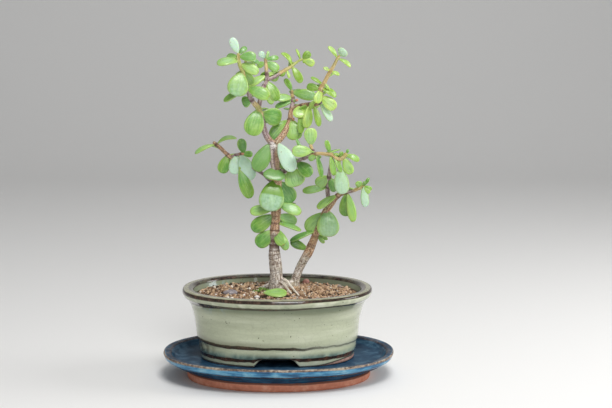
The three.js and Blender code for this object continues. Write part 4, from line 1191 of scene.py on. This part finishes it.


# The plant, piece by piece. Each row of a stem is (x, z, depth, radius), and each leaf is (root x,
# root z, tip x, tip z, out, width, roll, bow), where roll and bow may be left out. The far side's
# groups of leaves are (count, length, width, from, to, seed). young says how young the leaves look,
# ages how old the wood is along each stem, bloomSheenAndShade which leaves, counted from the first, are
# powdered, partly as a painted sheen, or below 0 darkened as painted shade, shade how far down the light
# is kept from a leaf, and scars where shoots were cut.
trunk = {
    "young": 0.0, "bloomSheenAndShade": {3: 0.6, 10: -0.6, 11: -0.8, 12: 1.25, 14: 0.5}, "shade": {3: 0.52},
    "ages": {
        0: ((0, 1.1), (0.35, 1.0), (0.5, 0.8), (0.9, 0.72), (0.96, 1.1), (1, 1.1)),
        1: ((0, 1.08), (0.25, 1.0), (0.42, 0.78), (0.75, 0.74), (1, 0.66)),
        3: ((0, 1.1), (0.25, 1.24), (1, 1.3)),
        4: ((0, 1.1), (0.25, 1.24), (1, 1.3)),
    },
    "rootAges": ((0, 1.05), (1, 1.1)),
    # the stems that lie bare on the soil, so that no grain covers them
    "bareRoots": (3, 4, 6),
    # dark rings around the upright and the leaning trunk: (height, width, strength)
    "rings": {
        0: (
            (124.2, 0.7, 0.9), (120.6, 0.6, 0.6), (118.4, 0.7, 1.1), (114.7, 0.8, 1.2), (110, 3, 1.2),
            (106, 2, 1.3), (102.2, 0.5, 0.8), (98.2, 0.5, 0.8), (96.2, 0.5, 0.8), (92.4, 0.5, 0.6),
            (86.8, 0.5, 0.5),
        ),
        1: ((103, 0.6, 0.9), (104.8, 0.6, 0.8), (91, 0.6, 0.5), (112, 0.8, 0.6), (84, 0.5, 0.5)),
    },
    "stems": [
        [(-1.5, 60, 0, 5.2), (-1.7, 68, 0, 6), (-1.7, 74, 0, 5.8), (-1.8, 80, 0, 5.2), (-1.9, 85, 0, 5.1),
         (-2.4, 91, 0, 5.2), (-3.2, 99, 0, 4.9), (-3.3, 104, 0, 4.2), (-3.2, 111, 0.3, 3.9),
         (-2.9, 117, 0.5, 4.2), (-2.6, 123, 0.6, 3.8), (-2, 129, 0.8, 3.6), (-1.9, 133, 0.9, 4.1),
         (-1.3, 141, 0.6, 3.4), (-0.6, 152, 0.2, 3.4), (-0.7, 160, 0, 3.5), (-2.3, 169, 0, 3.6),
         (-3.3, 178, 0, 4), (-3.4, 184.5, 0, 4.1), (-3.5, 189, 0, 4.1)],
        [(8, 66, 10, 3.6), (12, 73, 13, 4), (13.9, 79.5, 14, 3.6), (16.8, 87.5, 14.5, 3.4),
         (20, 93.8, 14.5, 3.5), (23.5, 99.8, 14.5, 3.9), (25.2, 103.4, 14.3, 3.8), (27, 107.6, 14, 3.5),
         (29.3, 113.4, 13.5, 3.2), (31.2, 118.8, 13, 2.8), (33.4, 124, 12.5, 2.7), (35.8, 129.8, 12, 2.8),
         (38.2, 134.2, 11.5, 3), (39.6, 136.6, 11, 2.7)],
        [(-2, 73, 1, 4.4), (5, 74.2, 7, 3.8), (12, 75, 13, 3.6)],
        [(1, 79, -1.5, 2), (5.3, 78, -4, 1.4), (9, 74.2, -8, 1.05), (12.4, 70, -12.5, 0.9),
         (15.6, 66.2, -17, 0.8), (17.5, 63.2, -20, 0.6)],
        [(2, 76.5, -3, 1.7), (5.4, 73.2, -7, 1.1), (8, 70, -11, 0.9), (10.6, 66.6, -15, 0.7)],
        [(-3, 75, 1, 3.6), (-9, 72.5, 3, 2.6), (-16, 70.4, 7, 1.8), (-24, 68.4, 12, 1.1)],
        [(-2, 74, 3, 3.4), (-3, 75.6, 10, 2.4), (-1, 75.6, 18, 1.6), (3, 75.4, 27, 1)],
    ],
    "leaves": [
        (-5.2, 118, -17.2, 105.8, 2, 12.4), (-5, 131, -21.2, 118.6, 2, 12.6),
        (-4.8, 136.6, -22.6, 133.2, 1, 10.5, 35), (-5, 159, -7.4, 133.8, 9, 20.2, 0, 1.6),
        (2, 158.2, 11.2, 140.8, -2, 14.4), (1.4, 139.5, 18.2, 132.3, 4, 9.6, 20, 1),
        (0.8, 130.4, 14.6, 124.8, -4, 9.4), (0.8, 123.8, 18.2, 118, 2, 7, 58, 1),
        (1.2, 119.4, 6.8, 102.4, 1, 8.6, 25), (-2.2, 116.8, 4.2, 106.4, 9, 9.4),
        (-8.6, 189.4, -18.4, 166, 4, 13.6, 0, 1), (-2.5, 169, -4, 158.4, 10, 17.8, 0, 1),
        (5.4, 189.2, 12.2, 165.8, 12, 12.6, 0, 1.6), (36, 133.4, 23.2, 116.8, -3, 14.6),
        (39.4, 134.8, 39.8, 112.8, 9, 18.4, 0, 1.4), (29.5, 118.4, 9.2, 109.6, 2, 6.6, 50, 1),
        (22, 103.4, 9.6, 109.4, 1, 7.4, 10), (31.8, 114.2, 39.4, 111, 2, 3.2),
        (32.6, 113.6, 36.7, 108, 3, 3.8),
    ],
    "rear": [(8, 18, 13, 0.42, 0.98, 261)],
}
sprays = {
    "crownLeft": {
        "node": "leaf_branch_crown_left", "slot": "leaf", "young": 0.15, "bloomSheenAndShade": {0: 0.45, 4: 1.2},
        "scars": (),
        "ages": (
            (0, 0.62), (0.28, 0.55), (0.36, 0.1), (0.44, 0.12), (0.52, 0.5), (0.64, 0.5), (0.74, 0.16),
            (1, 0.1),
        ),
        "stems": [
            [(-3.6, 187, 0, 2.6), (-7.6, 191.5, -1, 2.6), (-10.4, 197, -2, 2.4), (-11.8, 202.6, -3.5, 2.3),
             (-13.4, 209, -5, 2.2), (-15.6, 216, -6.5, 2.3), (-18.6, 219.4, -8, 2), (-21.2, 223.2, -9.5, 1.8),
             (-23.5, 228.2, -11.5, 1.7), (-25, 233, -13, 1.4), (-26.3, 238.2, -14.5, 1.3),
             (-27.4, 243.6, -15.5, 1.4), (-29.6, 248.6, -16.5, 1.5), (-31, 254, -17, 1.4),
             (-31.2, 259.4, -17.5, 1.1)],
            [(-27.2, 244.8, -15.5, 1.2), (-25.8, 250, -13, 1.2), (-25.2, 255, -11, 1)],
        ],
        "leaves": [
            (-29.6, 244, -33.8, 225.6, 6, 16.8, 0, 1.4), (-24.6, 232, -43, 221.6, -4, 7, 45),
            (-30.6, 253, -48.2, 251, 3, 8.4, 40, 1.8), (-31, 256.6, -40.4, 256.6, -5, 5.4, 20),
            (-31.2, 259.4, -36.6, 271.4, 1, 7), (-31, 258.8, -24.6, 264, -3, 4.8, 20),
            (-29.8, 256.6, -17.2, 256.2, 3, 8.6, 15, 1), (-28, 250.6, -15.2, 244, 4, 8.4, 10, 1),
            (-25.2, 254.6, -14.6, 251.6, 1, 4, 30, 1), (-26.8, 245.8, -20.4, 235, -3, 8),
            (-24.6, 231.8, -6.8, 224.6, 5, 10.4, 15, 1.4), (-20.4, 222.6, -28.4, 220.2, -4, 9.4),
            (-16.2, 215.2, -21.2, 194.2, 6, 15.8, 0, 1.4), (-12.6, 212.6, 2.4, 207.4, -9, 14.6, 0, 1),
        ],
        "rear": [(4, 15, 11, 0.12, 0.38, 44), (3, 12, 8.5, 0.78, 0.98, 218)],
    },
    "crownMiddle": {
        "node": "leaf_branch_crown_middle", "slot": "leaf", "young": 0.15, "bloomSheenAndShade": {0: 1.2}, "scars": (),
        "ages": ((0, 0.6), (0.5, 0.55), (0.8, 0.32), (1, 0.28)),
        "stems": [
            [(-15.6, 215.6, -6.5, 1.9), (-14.4, 221, -4.5, 1.9), (-13.9, 225, -2, 1.8), (-12.8, 229, 1, 1.7),
             (-11.3, 233.1, 4.5, 1.6), (-9.1, 237.2, 8, 1.6), (-8.8, 241.5, 9.5, 1.5), (-9.1, 245, 11.5, 1.5),
             (-9.4, 250, 13.5, 1.4), (-10, 255.4, 16.5, 1)],
        ],
        "leaves": [
            (-10, 254.8, -14.5, 260.4, 1, 5.2), (-9.5, 253.4, -7.6, 261, 0, 3.2, 45),
            (-9.2, 254, 0.6, 255.8, -1, 4.6, 20, 1), (-9.3, 252.4, 0.6, 246, 3, 7.6, 10),
            (-9.8, 251.6, -16.4, 249, -2, 5.6, 20), (-8.9, 243, 0.6, 240.2, -8, 9),
            (-9.3, 241.7, -23.8, 233.6, 3, 7.4, 30), (-8.7, 237.6, -0.6, 221.8, 4, 10.2, 15, 1),
            (-10.5, 233, -4.6, 219, 1, 6),
        ],
        "rear": [(6, 12, 8.5, 0.25, 0.95, 201)],
    },
    "crownTwig": {
        "node": "leaf_branch_crown_twig", "slot": "young_leaf", "young": 0.8, "bloomSheenAndShade": {}, "scars": (),
        "ages": ((0, 0.5), (0.3, 0.4), (0.55, 0.12), (1, 0.02)),
        "stems": [
            [(-9, 238.6, 9, 1.4), (-4.5, 239.8, 11, 1.5), (-0.9, 241.9, 13, 1.45), (2, 243.8, 15, 1.4),
             (6, 246.2, 16.5, 1.4), (10.5, 248.8, 18.5, 1.35), (13.9, 251.7, 20, 1.1), (17.8, 254, 21, 0.95),
             (20.4, 254.6, 22, 0.8)],
        ],
        "leaves": [
            (10.4, 249.4, 2.6, 259.6, -1, 5.4, 50, 2.8), (17.4, 254, 14.2, 262.6, 0, 2.8, 50),
            (19.5, 254, 25, 260.3, 1, 6.8), (19.4, 254.4, 28.7, 250.5, 2, 6.6),
            (20, 254.4, 20.2, 251.4, 1, 1.8), (11.6, 248.4, 18.4, 236, 2, 7, 15, 1.2),
            (6, 246.2, 1.6, 241.4, 1, 5), (6.6, 246, 8.8, 239.4, 2, 3.4, 45),
        ],
        "rear": [(4, 11, 7.5, 0.42, 0.92, 66)],
    },
    "crownRight": {
        "node": "leaf_branch_crown_right", "slot": "leaf", "young": 0.2, "bloomSheenAndShade": {1: 0.3},
        "scars": ((14.8, 222), (12.3, 206.6)),
        "ages": ((0, 0.8), (0.5, 0.72), (0.75, 0.6), (1, 0.25)),
        "stems": [
            [(-2.6, 187.4, 0, 2.7), (2.6, 193.2, 3, 2.7), (5.6, 197.6, 5.5, 2.6), (8, 202.4, 9, 2.5),
             (9.6, 207, 12.5, 2.3), (9.8, 211, 15, 2), (10.5, 215.4, 17.5, 1.8), (11.4, 219.4, 19.5, 1.7),
             (11.7, 223, 20.5, 1.6), (11.1, 227, 21.5, 1.4), (10.8, 230.4, 22, 1)],
            [(9.4, 205, 11, 1.1), (12.6, 207.6, 8, 0.95)],
            [(11.6, 221.4, 20, 1), (15.6, 222.4, 16.5, 1.05)],
        ],
        "leaves": [
            (10.8, 229.6, 5.2, 239.2, 1, 5.4, 25, 1.2), (11.2, 228.4, 29.8, 225.2, 4, 9.4, 10, 1.2),
            (11.5, 224.2, -1.6, 224, 3, 7.6, 30), (11.5, 221.4, -2.4, 216.6, 0, 5.8, 35),
            (11, 228.2, 18.2, 229.6, -3, 4.4), (8.8, 206.8, -5.4, 191, 7, 13.6, 0, 1.4),
            (11.6, 206.6, 13.2, 190.6, 4, 13.6, 0, 1.2),
        ],
        "rear": [(6, 14, 10, 0.3, 0.96, 338)],
    },
    "rightHigh": {
        "node": "leaf_branch_right_high", "slot": "young_leaf", "young": 0.7, "bloomSheenAndShade": {4: 0.9, 14: 0.9},
        "scars": ((33.6, 221.5),),
        "ages": ((0, 0.74), (0.2, 0.66), (0.4, 0.74), (0.5, 0.28), (1, 0.12)),
        "stems": [
            [(10.6, 215, 17.5, 1.4), (15, 217, 13, 1.5), (22, 218.8, 5.5, 1.6), (27, 219, 0, 1.6),
             (31, 219.3, -4.5, 1.6), (33.6, 221.6, -7.5, 1.7), (34, 225, -9, 1.8), (33.4, 228.6, -9.5, 1.9),
             (34, 232, -10.5, 1.9), (35.7, 234.7, -11, 1.7), (37.4, 238, -12, 1.6), (39.1, 241.6, -13, 1.5),
             (41.3, 245.2, -13.5, 1.5), (43.6, 249, -14.5, 1.35), (45.6, 252.8, -15.5, 1.2),
             (47, 255.6, -16.5, 1.1), (48.8, 257.8, -17, 0.8)],
            [(33.8, 226.4, -9, 1), (38.4, 228.9, -11, 1)],
        ],
        "leaves": [
            (17, 218.2, 16.4, 208, 8, 10.8, 0, 1), (19, 218, 17.6, 195.6, 8, 6.6, 15),
            (24.6, 218.4, 22, 200, 3, 8.4, 15), (28, 219, 32.6, 201.4, 1, 6.6, 35),
            (33, 220.4, 42.2, 205.6, 4, 6.4, 20, 1.2), (34.2, 225.4, 45.1, 215.2, 4, 9.8, 10, 1),
            (34.4, 231.4, 45.8, 225, 0, 6.4, 35, 2), (33.2, 231, 22.6, 233.4, -3, 6.8, 10),
            (33, 230.8, 30.2, 219.8, 5, 7.2, 10), (35.6, 234.2, 25.8, 240.4, -2, 3.8, 40),
            (36.4, 235.6, 40, 230.8, 2, 2.8), (41.2, 245.2, 35.6, 247.8, 1, 3.6, 35),
            (41.4, 245, 48.4, 242, 1, 3.8, 35), (46.8, 255.2, 39.4, 264.6, 0, 4.6, 40, 1.2),
            (48.6, 257.4, 52.6, 262.2, 4, 8.8), (47.2, 254.8, 57.2, 248.4, 1, 4.2, 40, 1.8),
        ],
        "rear": [(6, 13.5, 9.5, 0.1, 0.7, 122)],
    },
    "rightMiddle": {
        "node": "leaf_branch_right_middle", "slot": "leaf", "young": 0.1, "bloomSheenAndShade": {15: 0.75}, "scars": (),
        "ages": ((0, 0.6), (0.4, 0.5), (0.6, 0.3), (1, 0.14)),
        "stems": [
            [(-1, 167, 0, 1.6), (4.8, 165.8, -0.5, 1.6), (9, 168, -2, 1.5), (13, 172, -5.5, 1.4),
             (16.8, 174.8, -9, 1.4), (22, 176.6, -14, 1.4), (27, 178.9, -17.5, 1.4),
             (31.4, 179.9, -20.5, 1.4), (37, 179.6, -23.5, 1.4), (41, 179.3, -24.5, 1.4),
             (44.2, 178, -26, 1.5), (47, 175.6, -27.5, 1.7), (50, 176, -28.5, 1.9), (52.4, 178, -30, 1.7),
             (54.6, 180.4, -31, 1.2)],
            [(29.8, 179.6, -20, 1.2), (27.4, 182.8, -17.5, 1.1), (25.9, 185.6, -16.5, 1.3),
             (25.8, 187.4, -15.5, 1)],
            [(48.6, 176, -27.5, 1), (48.9, 168, -29.5, 0.9)],
        ],
        "leaves": [
            (15.2, 173, 26.2, 162.4, 8, 10.8, 0, 1), (10.4, 168.6, 14.8, 153.6, 4, 16.8, 0, 1),
            (30.4, 179, 34.5, 161, 3, 5.4, 40, 0.8), (26.6, 181, 10.8, 181.8, 2, 9.8, 10),
            (20, 177.4, 14.1, 191.8, 1, 3.6, 45), (25.8, 186, 25.6, 200.4, -1, 10.6),
            (31, 178.8, 24.2, 174.8, -3, 5), (41, 180.2, 37.9, 190.6, 1, 4.6, 15),
            (43, 180, 48.4, 177, 1, 3.4, 35, 1.8), (50, 177, 49.7, 181.6, 2, 3.8),
            (54.4, 179.6, 55.4, 183.4, 0, 2.6), (54, 178.8, 64.3, 174.2, 2, 5.4, 20, 1.4),
            (52.2, 176.4, 57.8, 163.4, 2, 8.2), (41.3, 178.8, 44.2, 162.2, 3, 5.8, 25),
            (44.4, 177.4, 50, 164.8, 5, 4.6, 30), (48.9, 169.4, 51.2, 147.4, 3, 12, 0, 1.2),
            (4.8, 166, 1.4, 174, -5, 5),
        ],
        "rear": [(7, 14, 10, 0.25, 0.95, 36)],
    },
    "leftMiddle": {
        "node": "leaf_branch_left_middle", "slot": "leaf", "young": 0.1, "bloomSheenAndShade": {4: 1.05, 5: 1.05},
        "scars": ((-41.6, 180.3), (-28.2, 179.8)),
        "ages": ((0, 0.5), (0.5, 0.48), (0.7, 0.72), (1, 0.7)),
        "stems": [
            [(-1, 156, 0, 1.6), (-7.5, 159.3, 5.5, 1.5), (-10.9, 162.7, 9, 1.4), (-14.9, 165.5, 12, 1.4),
             (-18.4, 167.6, 13.5, 1.4), (-24, 170, 16, 1.4), (-30, 173, 17.5, 1.5), (-35, 175.4, 20, 1.7),
             (-38.4, 177.4, 21, 1.8), (-41.6, 180.3, 22, 1.6), (-45, 183.7, 23.5, 1.6),
             (-48.4, 186.6, 24, 1.5), (-51.6, 189.2, 25, 1.3)],
            [(-37, 177, 20.5, 1.3), (-33, 179, 19, 1.2), (-27.6, 179.9, 17.5, 1.15)],
            [(-30, 173, 17.5, 1.1), (-30.6, 167, 13, 1)],
            [(-41, 179.8, 22, 1.3), (-41.9, 180.5, 16, 1.2)],
        ],
        "leaves": [
            (-49.6, 186.8, -66, 179.8, 1, 5.2, 50, 1.9), (-48.6, 187.2, -32.8, 192, -1, 5.2, 50, 3.8),
            (-26.6, 179.2, -29.6, 191.8, 5, 7.8), (-40.4, 178.4, -44.9, 164.2, 1, 10),
            (-33.6, 178.6, -34.8, 163.2, 4, 10.4, 0, 1), (-29.6, 178.8, -21.8, 158.4, 5, 14, 0, 1.2),
            (-31.2, 168, -22.2, 144.2, 1, 11, 0, 1), (-29, 179.6, -20.2, 179.4, -3, 5.6),
        ],
        "rear": [(5, 14, 10, 0.35, 0.85, 49)],
    },
    "leanRight": {
        "node": "leaf_branch_lean_right", "slot": "leaf", "young": 0.2, "bloomSheenAndShade": {7: 0.9},
        "scars": ((35.3, 136),),
        "ages": ((0, 0.8), (0.5, 0.7), (0.8, 0.28), (1, 0.08)),
        "stems": [
            [(38.4, 134.6, 11.5, 2.6), (42.4, 139.8, 9, 2.4), (45.5, 144.4, 6.5, 2.2), (48.7, 147.2, 4.5, 2),
             (53.8, 148.8, 2, 1.5), (58.6, 149.9, -1.5, 1.4), (63.1, 151.6, -4.5, 1.3), (66, 153, -6.5, 1.2),
             (68.6, 154.4, -9, 1)],
        ],
        "leaves": [
            (54.2, 148, 53.6, 129.6, 1, 11.2), (55, 148.6, 59.8, 125, 4, 8, 20, 1),
            (46.4, 147.6, 30.8, 136, 5, 7.2, 30, 1), (64.4, 152.2, 63.8, 158, 3, 6),
            (68.2, 154, 72.2, 160.6, 0, 3), (68.4, 154, 74.4, 151.2, 1, 3.4),
            (68.4, 153.6, 72.6, 148, 2, 3.8), (67.8, 153.8, 69.4, 137, 3, 6.8, 0, 0.8),
            (68, 154, 68.2, 157.8, 2, 2.4),
        ],
        "rear": [(4, 14, 9.5, 0.45, 0.85, 179)],
    },
    "leanUp": {
        "node": "leaf_branch_lean_up", "slot": "leaf", "young": 0.15, "bloomSheenAndShade": {}, "scars": (),
        "ages": ((0, 0.5), (1, 0.45)),
        "stems": [
            [(40.4, 138, 10, 1.8), (39.6, 145, 9.5, 1.7), (39.2, 150, 9, 1.8), (39.5, 154, 8, 1.9),
             (40, 158.1, 6.5, 1.9), (40.4, 162, 5.5, 1.7), (40.9, 167, 3.5, 1.4), (41.4, 171.6, 2, 1)],
        ],
        "leaves": [
            (39, 153, 19.2, 149.8, 2, 6.8, 15, 0.8), (39.6, 162, 30.2, 154.2, -2, 9.8),
            (40.8, 161, 44.6, 149.2, 2, 6.2),
        ],
        "rear": [(4, 14, 10, 0.3, 0.95, 104)],
    },
}
fallenLeaf = {
    "root": (-12, -21.5, 71.9), "tip": (7, -22.5, 71.7), "face": (0, -0.42, 0.906),
    "width": 12, "bow": 0.3, "kind": (0, -0.15, 0),
}


def buildFallenLeaf(chance):
    bm = bmesh.new()
    root, tip, face = [Vector(fallenLeaf[key]) for key in ("root", "tip", "face")]
    addLeaf(bm, root, tip, face, fallenLeaf["width"], fallenLeaf["bow"], fallenLeaf["kind"], chance)
    finish(bm, "fallenLeaf", leafSkin, "fallen_leaf")


# Setting, light and camera
setting = {"floorFront": -12, "floorBack": 1.2, "curve": 0.6, "top": 2.6, "halfWidth": 10}


def buildSetting():
    bm = bmesh.new()
    profile = [Vector((0, setting["floorFront"], 0)), Vector((0, setting["floorBack"], 0))]
    for i in range(1, 13):
        angle = math.pi / 2 * i / 12
        y = setting["floorBack"] + math.sin(angle) * setting["curve"]
        z = (1 - math.cos(angle)) * setting["curve"]
        profile.append(Vector((0, y, z)))
    profile.append(Vector((0, setting["floorBack"] + setting["curve"], setting["top"])))
    verts = [bm.verts.new(place - Vector((setting["halfWidth"], 0, 0))) for place in profile]
    edges = [bm.edges.new(pair) for pair in zip(verts, verts[1:])]
    grown = bmesh.ops.extrude_edge_only(bm, edges=edges)["geom"]
    moved = [item for item in grown if isinstance(item, bmesh.types.BMVert)]
    bmesh.ops.translate(bm, verts=moved, vec=(2 * setting["halfWidth"], 0, 0))
    bmesh.ops.recalc_face_normals(bm, faces=bm.faces)
    backdrop = makeObject(bm, "backdrop", 1)
    backdrop.data.shade_smooth()
    paint = Paint("backdropPaper", {"Roughness": 0.9, "Specular IOR Level": 0.1})
    paint.colour = paint.blend(paint.noise(paint.spot(), 900, 2), "e9e8e6", "f1f0ee")
    paint.feed()
    backdrop.data.materials.append(paint.material)


lamps = {
    "keyLight": {"place": (0.2, -0.85, 1.3), "size": 0.5, "power": 13},
    "frontLight": {"place": (0.3, -1.8, 0.75), "size": 0.8, "power": 5.5},
    "overhead": {"place": (0.05, 0.1, 1.35), "size": 1.0, "power": 3.2},
    "rimLight": {"place": (0.95, 0.0, 0.55), "size": 0.5, "power": 4.5},
}
sky = {"colour": (0.95, 0.97, 1.0, 1.0), "strength": 0.22}


def buildLight():
    aim = Vector((0, 0, 0.12))
    for name, lamp in lamps.items():
        data = bpy.data.lights.new(name, "AREA")
        data.shape = "SQUARE"
        data.size = lamp["size"]
        data.energy = lamp["power"]
        light = bpy.data.objects.new(name, data)
        light.location = lamp["place"]
        light.rotation_euler = (aim - Vector(lamp["place"])).to_track_quat("-Z", "Y").to_euler()
        bpy.context.scene.collection.objects.link(light)
    world = bpy.data.worlds.new("softSky")
    world.use_nodes = True
    background = world.node_tree.nodes["Background"]
    background.inputs["Color"].default_value = sky["colour"]
    background.inputs["Strength"].default_value = sky["strength"]
    bpy.context.scene.world = world
    bpy.context.scene.view_settings.view_transform = "Standard"


def buildCamera():
    data = bpy.data.cameras.new("frontCamera")
    data.lens = view["lens"]
    camera = bpy.data.objects.new("frontCamera", data)
    camera.location = (view["x"] * mm, -view["distance"] * mm, view["z"] * mm)
    camera.rotation_euler = (math.radians(90 - view["tilt"]), 0, 0)
    bpy.context.scene.collection.objects.link(camera)
    bpy.context.scene.camera = camera


# Building it all
print("tray and pot")
buildTray()
buildPot()
buildScreens()
print("soil and stones")
buildSoil()
buildMoss()
buildStones()
print("plant")
leafSkin = leafPaint()
barkSkin = barkPaint()
leafChance = random.Random(leafShape["seed"])
buildTrunk(trunk, leafChance)
for name, plant in sprays.items():
    buildSpray(name, plant, leafChance)
buildFallenLeaf(leafChance)
print("setting")
buildSetting()
buildLight()
buildCamera()
